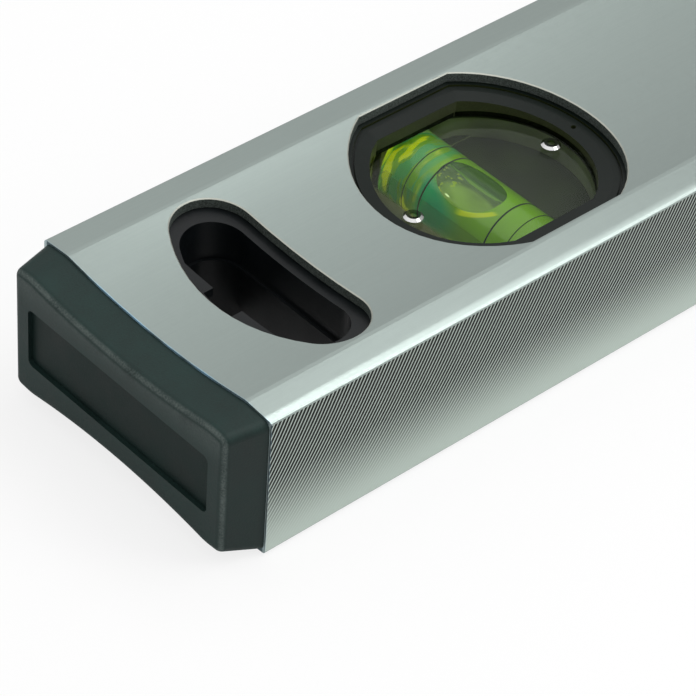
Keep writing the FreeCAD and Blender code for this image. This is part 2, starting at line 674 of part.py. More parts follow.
def make_plumb_unit():
    """Left unit: housing halves behind the wide faces, clear covers with two studs, carrier
    rings with cradles, and the vial across the beam."""
    centre = f"(-{PLUMB_X})"
    near_end, far_end = f"({centre} - {BEZEL_HALF_LENGTH})", f"({centre} + {BEZEL_HALF_LENGTH})"
    room = inner_prism("plumb_room", near_end, far_end)
    upper_sketch = new_sketch("plumb_upper_outline", z=MID)
    draw(upper_sketch, box_path(near_end, far_end, "-beam_width / 2", "beam_width / 2"))
    body = overlap("plumb_half_room", room, prism("plumb_upper", upper_sketch, "beam_depth"))

    insert = f"({centre} - insert_shift)"
    opening_sketch = new_sketch("plumb_opening_outline", z=MID)
    draw(opening_sketch, flat_circle_path(insert, OPENING_RADIUS, OPENING_FLAT))
    opening = prism("plumb_opening", opening_sketch, "beam_depth")
    seat = doc.addObject("Part::Cylinder", "plumb_carrier_seat")
    bind(seat, Radius=f"{CARRIER_RADIUS} + cover_gap", Height=f"over_cut + {SEAT_TOP} - {MID}")
    place(seat, insert, "0", f"{MID} - over_cut")

    groove_outer = f"({WINDOW_RADIUS} - bezel_groove_inset)"
    groove_inner = f"({groove_outer} - bezel_groove_width)"
    flat_outer = f"({WINDOW_FLAT} - bezel_groove_inset)"
    flat_inner = f"({flat_outer} - bezel_groove_width)"
    groove_sketch = new_sketch("plumb_groove_outline", z=MID)
    draw(groove_sketch, flat_circle_path(centre, groove_outer, flat_outer))
    draw(groove_sketch, flat_circle_path(centre, groove_inner, flat_inner))
    lowered_sketch = new_sketch("plumb_lowered_section", "YZ", x=near_end, z="-bezel_groove_depth")
    draw(lowered_sketch, section_path(
        "(beam_width / 2 - narrow_wall - fit_gap)", "(wide_wall + fit_gap)"))
    lowered = prism("plumb_lowered_room", lowered_sketch, f"2 * {BEZEL_HALF_LENGTH}")
    groove = take("plumb_groove", prism("plumb_groove_ring", groove_sketch, "beam_depth"), lowered)

    bezel = take("plumb_bezel", body, join("plumb_bezel_cuts", opening, seat, groove))
    doc.recompute()
    radius, flat, middle, seat_top = (
        value(text) for text in (OPENING_RADIUS, OPENING_FLAT, insert, SEAT_TOP))

    def on_opening(edge):
        """Upper edge of the bezel's opening."""
        point = edge.valueAt((edge.FirstParameter + edge.LastParameter) / 2)
        round_part = abs(math.hypot(point.x - middle, point.y) - radius) < 1e-3
        flat_part = abs(abs(point.y) - flat) < 1e-3 and abs(point.x - middle) < radius
        return (round_part or flat_part) and point.z > seat_top + 1e-2

    slope = doc.addObject("Part::Chamfer", "plumb_bezel_slope")
    slope.Base = bezel
    slope.Edges = [
        (int(name[4:]), value("bezel_slope_drop"), value("bezel_slope_width"))
        for name in edges_where(bezel.Shape, on_opening)
    ]
    vent = doc.addObject("Part::Cylinder", "plumb_vent")
    bind(vent, Radius="vent_radius", Height="beam_depth")
    place(vent, f"{centre} + {WINDOW_RADIUS} - vent_inset", "0",
          "beam_depth - wide_wall - dish_depth - fit_gap - vent_depth")

    front = piece(take("plumb_bezel_vented", slope, vent), "plumb_left_bezel_front")
    mirror_four(front, "plumb", "bezel")

    cover_sketch = new_sketch("plumb_cover_outline", z=f"{PLUMB_AXIS} + {COVER_UNDER}")
    draw(cover_sketch, flat_circle_path(
        insert, f"({OPENING_RADIUS} - cover_gap)", f"({OPENING_FLAT} - cover_gap)"))
    plate = prism("plumb_cover_plate", cover_sketch, "cover_depth")
    studs = []
    for side in (-1, 1):
        stud = doc.addObject("Part::Cone", f"plumb_stud_{len(studs) + 1}")
        bind(stud, Radius1="stud_radius", Radius2="stud_top_radius", Height="stud_height")
        dimple = doc.addObject("Part::Cylinder", f"plumb_dimple_{len(studs) + 1}")
        bind(dimple, Radius="dimple_radius", Height="stud_height + cover_gap")
        for shape in (stud, dimple):
            place(shape, f"{insert} + {side} * ({OPENING_RADIUS} - stud_inset)", "0",
                  f"{PLUMB_AXIS} + {COVER_OVER}")
        studs.append(take(f"plumb_dimpled_stud_{len(studs) + 1}", stud, dimple))
    cover = piece(join("plumb_cover", plate, *studs), "plumb_left_window_front")
    mirror_four(cover, "plumb", "window")

    ring_sketch = new_sketch("plumb_carrier_outline", z=MID)
    draw_circle(ring_sketch, insert, "0", CARRIER_RADIUS)
    draw_circle(ring_sketch, insert, "0", CARRIER_BORE)
    ring = prism("plumb_carrier_ring", ring_sketch, "carrier_top")
    disc_sketch = new_sketch("plumb_carrier_disc_outline", z=MID)
    draw_circle(disc_sketch, insert, "0", f"{CARRIER_BORE} + cover_gap")
    disc = prism("plumb_carrier_disc", disc_sketch, "carrier_top")
    cradle_sketch = new_sketch("plumb_cradle_outline", z=MID)
    for side in (-1, 1):
        cradle_y = f"{side} * ({PLUMB_HALF_LENGTH} - cradle_inset)"
        draw(cradle_sketch, box_path(
            f"{insert} - {CARRIER_BORE}", f"{insert} + {CARRIER_BORE}",
            f"{cradle_y} - cradle_width / 2", f"{cradle_y} + cradle_width / 2"))
    cradles = overlap("plumb_cradles", prism("plumb_cradle_bars", cradle_sketch, "cradle_top"), disc)
    floor_sketch = new_sketch(
        "plumb_carrier_floor_outline", z=f"{MID} + carrier_floor - carrier_floor_depth")
    draw_circle(floor_sketch, insert, "0", f"{CARRIER_BORE} + cover_gap")
    floor = prism("plumb_carrier_floor", floor_sketch, "carrier_floor_depth")
    saddle = doc.addObject("Part::Cylinder", "plumb_saddle")
    saddle.Placement = FreeCAD.Placement(Vector(), Rotation(Vector(1, 0, 0), 90))
    saddle_end = f"({PLUMB_HALF_LENGTH} + plug_flange + seat_gap)"
    bind(saddle, Radius="vial_radius + seat_gap", Height=f"2 * {saddle_end}")
    place(saddle, insert, saddle_end, PLUMB_AXIS)
    whole = join("plumb_carrier_whole", ring, cradles, floor)
    below = doc.addObject("Part::Mirroring", "plumb_carrier_below")
    below.Source = whole
    below.Normal = Vector(0, 0, 1)
    below.setExpression(".Base.z", formula(MID))
    for half, block in (("front", whole), ("back", below)):
        carrier = piece(take(f"plumb_carrier_{half}", block, saddle), f"plumb_left_carrier_{half}")
        mirrored(carrier, f"plumb_right_carrier_{half}", Vector(1, 0, 0))

    make_vial("plumb_left", (insert, "0", PLUMB_AXIS), "Y", PLUMB_HALF_LENGTH, "bubble_shift")
    for part in ("vial_tube", "vial_plug", "vial_liquid", "vial_rings"):
        source = next(item for item in pieces if item.Label == f"plumb_left_{part}")
        mirrored(source, f"plumb_right_{part}", Vector(1, 0, 0))


def mirror_four(front, unit, part):
    """The back half at the left end, and both halves at the right end."""
    back = mirrored(front, f"{unit}_left_{part}_back", Vector(0, 0, 1))
    mirrored(front, f"{unit}_right_{part}_front", Vector(1, 0, 0))
    mirrored(back, f"{unit}_right_{part}_back", Vector(1, 0, 0))


# Level vial unit

def make_level_unit():
    """Housing halves in the notch at the top edge, three clear covers and the vial along the
    beam, read from both wide faces and from above."""
    top_y = "(beam_width / 2 - top_sink)"
    room = inner_prism("level_room", "(-level_half_housing)", "level_half_housing")
    trim = prism("level_trim", draw(new_sketch("level_trim_outline", z=MID), box_path(
        "-level_half_housing", "level_half_housing", LEVEL_FLOOR, "beam_width / 2")), "beam_depth")
    filler_sketch = new_sketch("level_filler_outline", "YZ", x="-(notch_half_length - fit_gap)")
    draw(filler_sketch, box_path(
        f"({RIDGE} + ridge_land / 2)", top_y, MID, "beam_depth - strip_drop - corner_radius"))
    filler = prism("level_filler", filler_sketch, "2 * (notch_half_length - fit_gap)")
    body = join("level_body", overlap("level_half_room", room, trim), filler)

    reach = "(vial_radius + level_opening_margin)"
    face_sketch = new_sketch("level_opening_outline", z=MID)
    draw(face_sketch, rounded_path(
        f"-{LEVEL_HALF_OPENING}", LEVEL_HALF_OPENING,
        f"({LEVEL_AXIS} - {reach})", f"({LEVEL_AXIS} + {reach})", "level_opening_corner"))
    face_opening = prism("level_face_opening", face_sketch, "beam_depth")
    top_sketch = new_sketch("level_top_outline", "XZ", y=LEVEL_AXIS)
    draw(top_sketch, rounded_path(
        f"-{LEVEL_HALF_OPENING}", LEVEL_HALF_OPENING,
        f"({MID} - {reach})", f"({MID} + {reach})", "level_opening_corner"))
    top_opening = prism("level_top_opening", top_sketch, "0", back="beam_width / 2")
    bed = doc.addObject("Part::Cylinder", "level_bed")
    bed.Placement = FreeCAD.Placement(Vector(), Rotation(Vector(0, 1, 0), 90))
    bed_end = f"({LEVEL_HALF_LENGTH} + dome_height + seat_gap)"
    bind(bed, Radius="vial_radius + seat_gap", Height=f"2 * {bed_end}")
    place(bed, f"-{bed_end}", LEVEL_AXIS, MID)
    housing = take("level_housing", body, join("level_cuts", face_opening, top_opening, bed))
    front = piece(housing, "level_bezel_front")
    mirrored(front, "level_bezel_back", Vector(0, 0, 1))

    inside = f"({LEVEL_HALF_OPENING} - cover_gap)"
    close = f"({reach} - cover_gap)"
    face_cover_sketch = new_sketch("level_cover_outline", z=f"{MID} + {COVER_UNDER}")
    draw(face_cover_sketch, rounded_path(
        f"-{inside}", inside, f"({LEVEL_AXIS} - {close})", f"({LEVEL_AXIS} + {close})",
        "level_opening_corner"))
    face_cover = piece(prism("level_cover", face_cover_sketch, "cover_depth"), "level_window_front")
    mirrored(face_cover, "level_window_back", Vector(0, 0, 1))
    top_cover_sketch = new_sketch("level_top_cover_outline", "XZ", y=f"{top_y} - top_cover_sink")
    draw(top_cover_sketch, rounded_path(
        f"-{inside}", inside, f"({MID} - {close})", f"({MID} + {close})", "level_opening_corner"))
    piece(prism("level_top_cover", top_cover_sketch, "cover_depth"), "level_window_top")

    make_vial("level", ("0", LEVEL_AXIS, MID), "X", LEVEL_HALF_LENGTH, "0")


# Magnets

def make_magnets():
    """Steel cups in the base wall, open outwards, each with a disc magnet inside."""
    face_y = "(-beam_width / 2 + magnet_sink)"
    stations = [f"({side} * {offset})" for side, offset in (
        (-1, "magnet_far"), (-1, "magnet_near"), (1, "magnet_near"), (1, "magnet_far"))]
    disc_radius = "(magnet_cup_radius - magnet_cup_wall - magnet_gap)"
    for number, station in enumerate(stations, start=1):
        cup = doc.addObject("PartDesign::Body", f"cup_{number}")
        outline = new_sketch(f"cup_{number}_outline", "XY", body=cup)
        draw(outline, [
            ("0", "magnet_cup_depth - magnet_cup_floor"),
            ("magnet_cup_radius - magnet_cup_wall", "magnet_cup_depth - magnet_cup_floor"),
            ("magnet_cup_radius - magnet_cup_wall", "0"),
            ("magnet_cup_radius", "0"),
            ("magnet_cup_radius", "magnet_cup_depth"),
            ("0", "magnet_cup_depth"),
        ])
        turning = cup.newObject("PartDesign::Revolution", f"cup_{number}_turning")
        turning.Profile = outline
        turning.ReferenceAxis = (outline, ["V_Axis"])
        turning.Angle = 360
        place(cup, station, face_y, MID)
        piece(cup, f"magnet_cup_{number}")

        disc = doc.addObject("Part::Cylinder", f"disc_{number}")
        disc.Placement = FreeCAD.Placement(Vector(), Rotation(Vector(1, 0, 0), -90))
        bind(disc, Radius=disc_radius, Height="magnet_cup_depth - magnet_cup_floor")
        place(disc, station, face_y, MID)
        piece(disc, f"magnet_disc_{number}")


def check_and_write():
    for feature in doc.Objects:
        if "Invalid" in feature.State or "Error" in feature.State:
            raise RuntimeError(f"{feature.Name} failed to build: {feature.State}")
    os.makedirs("parts", exist_ok=True)
    for part in pieces:
        shape = part.Shape
        if shape.isNull() or not shape.isValid() or not shape.Solids:
            raise RuntimeError(f"{part.Label} is not a valid solid")
        shape.exportStep(f"parts/{part.Label}.step")
        box = shape.BoundBox
        print(f"{part.Label:28s} solids {len(shape.Solids)} volume {shape.Volume:10.1f} "
              f"x {box.XMin:8.2f} {box.XMax:8.2f} y {box.YMin:7.2f} {box.YMax:7.2f} "
              f"z {box.ZMin:6.2f} {box.ZMax:6.2f}")


make_beam()
make_cap()
make_liners()
make_plumb_unit()
make_level_unit()
make_magnets()
doc.recompute()
check_and_write()
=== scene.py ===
"""Magnetic spirit level: its finishes, the stage and the camera.

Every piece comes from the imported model, in metres. The level lies on a wide face, with its
measuring base along -Y. Materials read Object coordinates, and their patterns are sized in mm.
"""
import math

import bmesh
import bpy
from mathutils import Matrix, Vector


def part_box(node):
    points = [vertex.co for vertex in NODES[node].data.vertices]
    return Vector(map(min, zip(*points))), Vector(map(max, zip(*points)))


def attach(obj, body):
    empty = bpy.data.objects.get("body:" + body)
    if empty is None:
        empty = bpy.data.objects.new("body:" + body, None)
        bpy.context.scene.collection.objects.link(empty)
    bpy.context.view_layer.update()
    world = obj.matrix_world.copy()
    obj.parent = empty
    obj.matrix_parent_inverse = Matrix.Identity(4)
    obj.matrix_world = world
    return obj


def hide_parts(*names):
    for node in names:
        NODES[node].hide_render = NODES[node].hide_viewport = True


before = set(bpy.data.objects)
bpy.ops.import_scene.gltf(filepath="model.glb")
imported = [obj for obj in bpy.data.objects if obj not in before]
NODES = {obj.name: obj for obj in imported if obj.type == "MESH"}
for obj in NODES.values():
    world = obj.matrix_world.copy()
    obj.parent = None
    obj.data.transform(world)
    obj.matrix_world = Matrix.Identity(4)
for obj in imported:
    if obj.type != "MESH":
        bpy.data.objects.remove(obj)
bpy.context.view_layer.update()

bl_info = {
    "name": "Magnetic spirit level",
    "version": (1, 0, 0),
    "blender": (4, 5, 0),
    "location": "3D View > Sidebar > Level",
    "description": "Finishes of a box-beam spirit level with its vials, caps and magnets",
    "category": "Object",
}

MM = 0.001
UNITS = ("plumb_left", "plumb_right", "level")
MID_PLANE = 15.3 * MM  # height of the beam's middle plane
LEVEL_ZONE = 50 * MM  # the level vial's unit lies within this distance of mid-length
PLUMB_AXIS = 115.6 * MM  # axis of a plumb barrel, from mid-length
SAWN_END = 191.6 * MM  # just inside the beam's sawn ends, from mid-length
CAP_PANEL = 199.3 * MM  # just outside the recessed panels of the caps, from mid-length
TOP_EDGE = 28.6 * MM  # just inside the level unit's face in the top edge, from the middle
EDGE_ROLL = (-27.9 * MM, -29.7 * MM)  # where the wide faces drop towards the base
ROLL_DROP = 0.31 * MM  # how far they drop
CUTTER_RISE = 80 * MM  # height of the centres of the cutter's arcs
STUD_START = 9.81 * MM  # the covers' studs stand further than this from the middle plane
WETTING = 0.03 * MM  # the spirit reaches this far into its barrel
SEAM = 0.002 * MM  # vertices nearer than this are one
SKIN_SHARE = 0.94  # the bubble's skin is nearer to the axis than this share of the bore
BUBBLE_REACH = 11.5 * MM  # bubbles end within this distance of their vial's middle
VIAL_PLACE = "vial_place"  # across, along and up from each vial's middle, in metres
BUBBLE_PLACE = "bubble_place"  # the same, from the bubble's middle, as shares of its half-sizes


def linear(code):
    """An sRGB hex colour as linear red, green and blue."""
    parts = [int(code[i:i + 2], 16) / 255 for i in (1, 3, 5)]
    return tuple(p / 12.92 if p <= 0.04045 else ((p + 0.055) / 1.055) ** 2.4 for p in parts)


def add(tree, kind, inputs=None, out=0, **settings):
    """Adds a node with its settings, and a value or another node's output on each input."""
    node = tree.nodes.new(kind)
    for name, value in settings.items():
        setattr(node, name, value)
    for key, value in (inputs or {}).items():
        if isinstance(value, bpy.types.NodeSocket):
            tree.links.new(value, node.inputs[key])
        else:
            node.inputs[key].default_value = value
    return None if out is None else node.outputs[out]


def blank(name):
    """An empty material and its node tree."""
    material = bpy.data.materials.new(name)
    material.use_nodes = True
    material.node_tree.nodes.clear()
    return material, material.node_tree


def rgba(colour):
    """A linear colour with full alpha."""
    return (colour[0], colour[1], colour[2], 1.0)


def coloured(name, text, code):
    """A colour setting with its default."""
    return bpy.props.FloatVectorProperty(
        name=name, description=text, subtype="COLOR", size=3, min=0, max=1, default=linear(code)
    )


def sized(name, text, millimetres):
    """A length setting, kept in metres, with its default."""
    return bpy.props.FloatProperty(
        name=name, description=text, subtype="DISTANCE", unit="LENGTH", default=millimetres * MM
    )


# soft lamps: name, place and target in metres, side in metres, power in watts
SOFT_LAMPS = (
    ("corner_softbox", (0.32, -0.58, 0.47), (-0.1, -0.03, 0.03), 0.30, 1.1),
    ("strip_softbox", (0.045, 0.072, 0.408), (-0.18, -0.027, 0.03), 0.10, 0.13),
    ("key_softbox", (0.35, -0.35, 1.1), (-0.05, 0.0, 0.0), 0.9, 6.0),
)


class LevelColours(bpy.types.PropertyGroup):
    """The colours of the level's finishes."""

    aluminium: coloured("Aluminium", "Satin anodised faces", "#9BA6A2")
    sawn: coloured("Sawn walls", "Grainy walls of the cut-outs", "#59605C")
    # the sawn ends' bluish burr with its painted highlight
    burr_and_highlight: coloured("Sawn ends", "Burr and painted highlight at the sawn ends", "#9CC4DC")
    rim: coloured("Cut rims", "Bright bare metal on the broken edges of the cut-outs", "#C4C6BC")
    milled_ridge: coloured("Milled ridges", "Bright ridges between the cutter marks", "#C4D0C8")
    milled_groove: coloured("Milled grooves", "Dark cutter marks on the base", "#0C0F0C")
    cap: coloured("End caps", "Moulded black caps", "#172A27")
    # scuffs on the caps' ridges with a painted highlight, and painted light on the upper part of
    # their faces
    dust_and_sheen: coloured("Cap wear and sheen", "Wear and painted sheen on the ridges of the caps", "#56605D")
    liner: coloured("Hang hole liners", "Moulded black liners", "#0A0E10")
    housing: coloured("Vial housings", "Moulded dark housings", "#0B130F")
    housing_wall: coloured("Housing walls", "Walls around the windows", "#2A3018")
    cover: coloured("Covers", "Clear covers of the windows", "#F1F4F1")
    cover_wall: coloured("Cover walls", "Cut walls of the covers", "#9AA39A")
    carrier: coloured("Carriers", "Smoky clear rings under the covers", "#262F19")
    # painted light on the carriers' upright walls
    carrier_wall_light: coloured("Carrier wall light", "Upright walls of the smoky rings", "#68724F")
    carrier_glow: coloured("Carrier tint", "Carriers where the spirit's light falls", "#66683C")
    carrier_clear: coloured("Carrier clearness", "Carriers beside the barrels", "#F6F8EC")
    barrel: coloured("Vial barrels", "Clear acrylic barrels", "#DFEBB8")
    glow: coloured("Barrel glow", "Fluorescent light carried by the barrels", "#6CC040")
    liquid: coloured("Vial liquid", "Bright yellow-green spirit", "#9CC83C")
    # painted teal shade in the spirit
    painted_liquid_shade: coloured("Painted liquid shade", "Painted teal shade in the spirit", "#00BCB4")
    glint: coloured("Glints", "Light caught by the closed end of a vial", "#E6E400")
    bubble: coloured("Bubble", "The skin of the bubble", "#ACB878")
    plug: coloured("Vial plugs", "Moulded plugs", "#1A1D1B")
    ink: coloured("Graduations", "Printed rings", "#102016")
    steel: coloured("Magnet cups", "Plated steel cups", "#5E6466")
    nickel: coloured("Magnet discs", "Nickel plated discs", "#9AA0A0")
    floor: coloured("Floor", "Pale floor", "#FAFAFA")


class LevelPatterns(bpy.types.PropertyGroup):
    """The real sizes of the patterns in the finishes."""

    drawing_line: sized("Drawing lines", "Width of the die lines along the beam", 0.35)
    satin_grain: sized("Satin grain", "Etched grain of the anodised faces", 0.5)
    cutter_pitch: sized("Cutter pitch", "Feed between two cutter marks", 0.92)
    cutter_radius: sized("Cutter radius", "Radius of the face mill", 120)
    mould_grain: sized("Mould grain", "Spark-eroded grain of the mouldings", 0.35)
    saw_grain: sized("Saw grain", "Torn grain of the cut walls", 0.3)


def colours():
    return bpy.context.scene.level_colours


def patterns():
    return bpy.context.scene.level_patterns


def anodised_aluminium():
    """Satin anodised extrusion: an even grey sheen with faint die lines along the beam.

    The base shows the bright arcs of the face mill; as painted reflection, its marks fade and its
    ridges grow lighter towards the lower corner, and the walls of the cut-outs are grainy and
    darkened as painted shade.
    """
    look, size = colours(), patterns()
    material, tree = blank("anodised_aluminium")
    place = add(tree, "ShaderNodeTexCoord", out="Object")
    x, y, z = (add(tree, "ShaderNodeSeparateXYZ", {0: place}, out=i) for i in range(3))
    facing = add(tree, "ShaderNodeNewGeometry", out="Normal")
    face_y = add(tree, "ShaderNodeSeparateXYZ", {0: facing}, out=1)
    face_z = add(tree, "ShaderNodeSeparateXYZ", {0: facing}, out=2)

    # die lines run along the beam, so the noise is stretched forty times that way
    across = 1 / size.drawing_line
    drawn = add(tree, "ShaderNodeMapping", {0: place, 3: (across / 40, across, across)})
    lines = add(tree, "ShaderNodeTexNoise", {"Vector": drawn, "Scale": 1.0, "Detail": 2.0})
    grain = add(tree, "ShaderNodeTexNoise",
                {"Vector": place, "Scale": 1 / size.satin_grain, "Detail": 3.0})
    mottle = add(tree, "ShaderNodeMath", {0: lines, 1: grain}, operation="ADD")
    shade = add(tree, "ShaderNodeMapRange", {0: mottle, 1: 0.7, 2: 1.3, 3: 0.98, 4: 1.02})
    satin = add(tree, "ShaderNodeVectorMath", {0: tuple(look.aluminium), 3: shade},
                operation="SCALE")

    # marks of the face mill: arcs about a centre above the beam, one for each feed of the cutter
    rise = add(tree, "ShaderNodeMath", {0: z, 1: CUTTER_RISE}, operation="SUBTRACT")
    square = add(tree, "ShaderNodeMath", {0: rise, 1: rise}, operation="MULTIPLY")
    chord = add(tree, "ShaderNodeMath", {0: size.cutter_radius ** 2, 1: square},
                operation="SUBTRACT")
    arc = add(tree, "ShaderNodeMath", {0: chord}, operation="SQRT")
    along = add(tree, "ShaderNodeMath", {0: x, 1: arc}, operation="SUBTRACT")
    turn = add(tree, "ShaderNodeMath", {0: along, 1: 2 * math.pi / size.cutter_pitch},
               operation="MULTIPLY")
    wave = add(tree, "ShaderNodeMath", {0: turn}, operation="SINE")
    groove = add(tree, "ShaderNodeMapRange", {0: wave, 1: -0.6, 2: -0.36, 3: 0.0, 4: 1.0})
    # painted reflection: towards the bottom the marks fade and the ridges grow lighter
    depth = add(tree, "ShaderNodeMapRange", {0: z, 1: 0.001, 2: 0.0185, 3: 0.02, 4: 1.0},
                interpolation_type="SMOOTHSTEP")
    marks_with_painted_fade = add(tree, "ShaderNodeMath", {0: groove, 1: depth}, operation="MULTIPLY")
    ridge_painted_shade = add(tree, "ShaderNodeMapRange", {0: z, 1: 0.002, 2: 0.026, 3: 0.92, 4: 0.74})
    ridge = add(tree, "ShaderNodeVectorMath", {0: tuple(look.milled_ridge), 3: ridge_painted_shade},
                operation="SCALE")
    milled = add(tree, "ShaderNodeMix",
                 {0: marks_with_painted_fade, 6: ridge, 7: rgba(look.milled_groove)}, out=2, data_type="RGBA")
    on_base = add(tree, "ShaderNodeMapRange", {0: face_y, 1: -0.97, 2: -0.99, 3: 0.0, 4: 1.0})
    skin = add(tree, "ShaderNodeMix", {0: on_base, 6: satin, 7: milled}, out=2, data_type="RGBA")

    # walls of the cut-outs: upright surfaces away from the base and the top edge, grainy and
    # darkened as painted shade
    torn = add(tree, "ShaderNodeTexNoise",
               {"Vector": place, "Scale": 1 / size.saw_grain, "Detail": 4.0, "Roughness": 0.7})
    torn_shade = add(tree, "ShaderNodeMapRange", {0: torn, 1: 0.3, 2: 0.7, 3: 0.35, 4: 1.8})
    wall = add(tree, "ShaderNodeVectorMath", {0: tuple(look.sawn), 3: torn_shade},
               operation="SCALE")
    flat_z = add(tree, "ShaderNodeMath", {0: face_z}, operation="ABSOLUTE")
    upright = add(tree, "ShaderNodeMapRange", {0: flat_z, 1: 0.45, 2: 0.95, 3: 1.0, 4: 0.0})
    off_axis = add(tree, "ShaderNodeMath", {0: y}, operation="ABSOLUTE")
    inside = add(tree, "ShaderNodeMapRange", {0: off_axis, 1: 0.0292, 2: 0.0294, 3: 1.0, 4: 0.0})
    on_wall = add(tree, "ShaderNodeMath", {0: upright, 1: inside}, operation="MULTIPLY")
    colour = add(tree, "ShaderNodeMix", {0: on_wall, 6: skin, 7: wall}, out=2, data_type="RGBA")

    # their broken edges lean at 45 degrees and are bare and bright
    leaning = add(tree, "ShaderNodeMath", {0: flat_z, 1: math.cos(math.pi / 4)},
                  operation="SUBTRACT")
    leaning = add(tree, "ShaderNodeMath", {0: leaning}, operation="ABSOLUTE")
    on_rim = add(tree, "ShaderNodeMapRange", {0: leaning, 1: 0.05, 2: 0.1, 3: 0.8, 4: 0.0})
    on_rim = add(tree, "ShaderNodeMath", {0: on_rim, 1: inside}, operation="MULTIPLY")
    colour = add(tree, "ShaderNodeMix", {0: on_rim, 6: colour, 7: rgba(look.rim)}, out=2,
                 data_type="RGBA")

    # the sawn ends carry a broken bluish burr painted as a bright highlight, faint near the base
    # and the top edge
    length = add(tree, "ShaderNodeMath", {0: x}, operation="ABSOLUTE")
    sawn_end = add(tree, "ShaderNodeMapRange",
                   {0: length, 1: SAWN_END, 2: SAWN_END + 0.1 * MM, 3: 0.0, 4: 1.0})
    broken = add(tree, "ShaderNodeTexNoise", {"Vector": place, "Scale": 180.0, "Detail": 3.0})
    broken = add(tree, "ShaderNodeMapRange", {0: broken, 1: 0.35, 2: 0.6, 3: 0.25, 4: 0.85})
    ends = add(tree, "ShaderNodeMapRange", {0: off_axis, 1: 0.012, 2: 0.027, 3: 1.0, 4: 0.2},
               interpolation_type="SMOOTHSTEP")
    broken = add(tree, "ShaderNodeMath", {0: broken, 1: ends}, operation="MULTIPLY")
    sawn_end = add(tree, "ShaderNodeMath", {0: sawn_end, 1: broken}, operation="MULTIPLY")
    colour = add(tree, "ShaderNodeMix", {0: sawn_end, 6: colour, 7: rgba(look.burr_and_highlight)}, out=2,
                 data_type="RGBA")

    rough = add(tree, "ShaderNodeMapRange", {0: grain, 1: 0.3, 2: 0.7, 3: 0.30, 4: 0.38})
    roughness = add(tree, "ShaderNodeMix", {0: on_wall, 2: rough, 3: 0.75}, data_type="FLOAT")
    relief = add(tree, "ShaderNodeMix", {0: on_wall, 2: mottle, 3: torn}, data_type="FLOAT")

    # milling the base rolled the edges beside it
    start, end = EDGE_ROLL
    rolled = add(tree, "ShaderNodeMapRange", {0: y, 1: start, 2: end, 3: 0.0, 4: 1.0})
    rolled = add(tree, "ShaderNodeMath", {0: rolled, 1: rolled}, operation="MULTIPLY")
    bump = add(tree, "ShaderNodeBump",
               {"Strength": 1.0, "Distance": ROLL_DROP, "Height": rolled}, invert=True)
    bump = add(tree, "ShaderNodeBump",
               {"Strength": 0.06, "Distance": 0.0001, "Height": relief, "Normal": bump})
    metal = add(tree, "ShaderNodeBsdfPrincipled", {
        "Base Color": colour, "Metallic": 1.0, "Roughness": roughness, "Normal": bump})
    add(tree, "ShaderNodeOutputMaterial", {"Surface": metal}, out=None)
    return material


def moulded(name, colour, roughness, grain_size, depth=0.15):
    """A moulded plastic with the fine grain of a spark-eroded mould and slightly uneven gloss."""
    material, tree = blank(name)
    place = add(tree, "ShaderNodeTexCoord", out="Object")
    grain = add(tree, "ShaderNodeTexNoise",
                {"Vector": place, "Scale": 1 / grain_size, "Detail": 3.0, "Roughness": 0.6})
    cloud = add(tree, "ShaderNodeTexNoise", {"Vector": place, "Scale": 150.0, "Detail": 2.0})
    both = add(tree, "ShaderNodeMath", {0: grain, 1: cloud}, operation="ADD")
    shade = add(tree, "ShaderNodeMapRange", {0: both, 1: 0.7, 2: 1.3, 3: 0.7, 4: 1.35})
    tint = add(tree, "ShaderNodeVectorMath", {0: tuple(colour), 3: shade}, operation="SCALE")
    rough = add(tree, "ShaderNodeMapRange",
                {0: both, 1: 0.7, 2: 1.3, 3: roughness - 0.06, 4: roughness + 0.08})
    bump = add(tree, "ShaderNodeBump", {"Strength": depth, "Distance": 0.0002, "Height": grain})
    plastic = add(tree, "ShaderNodeBsdfPrincipled", {
        "Base Color": tint, "Roughness": rough, "IOR": 1.5, "Specular IOR Level": 0.25,
        "Normal": bump})
    add(tree, "ShaderNodeOutputMaterial", {"Surface": plastic}, out=None)
    return material


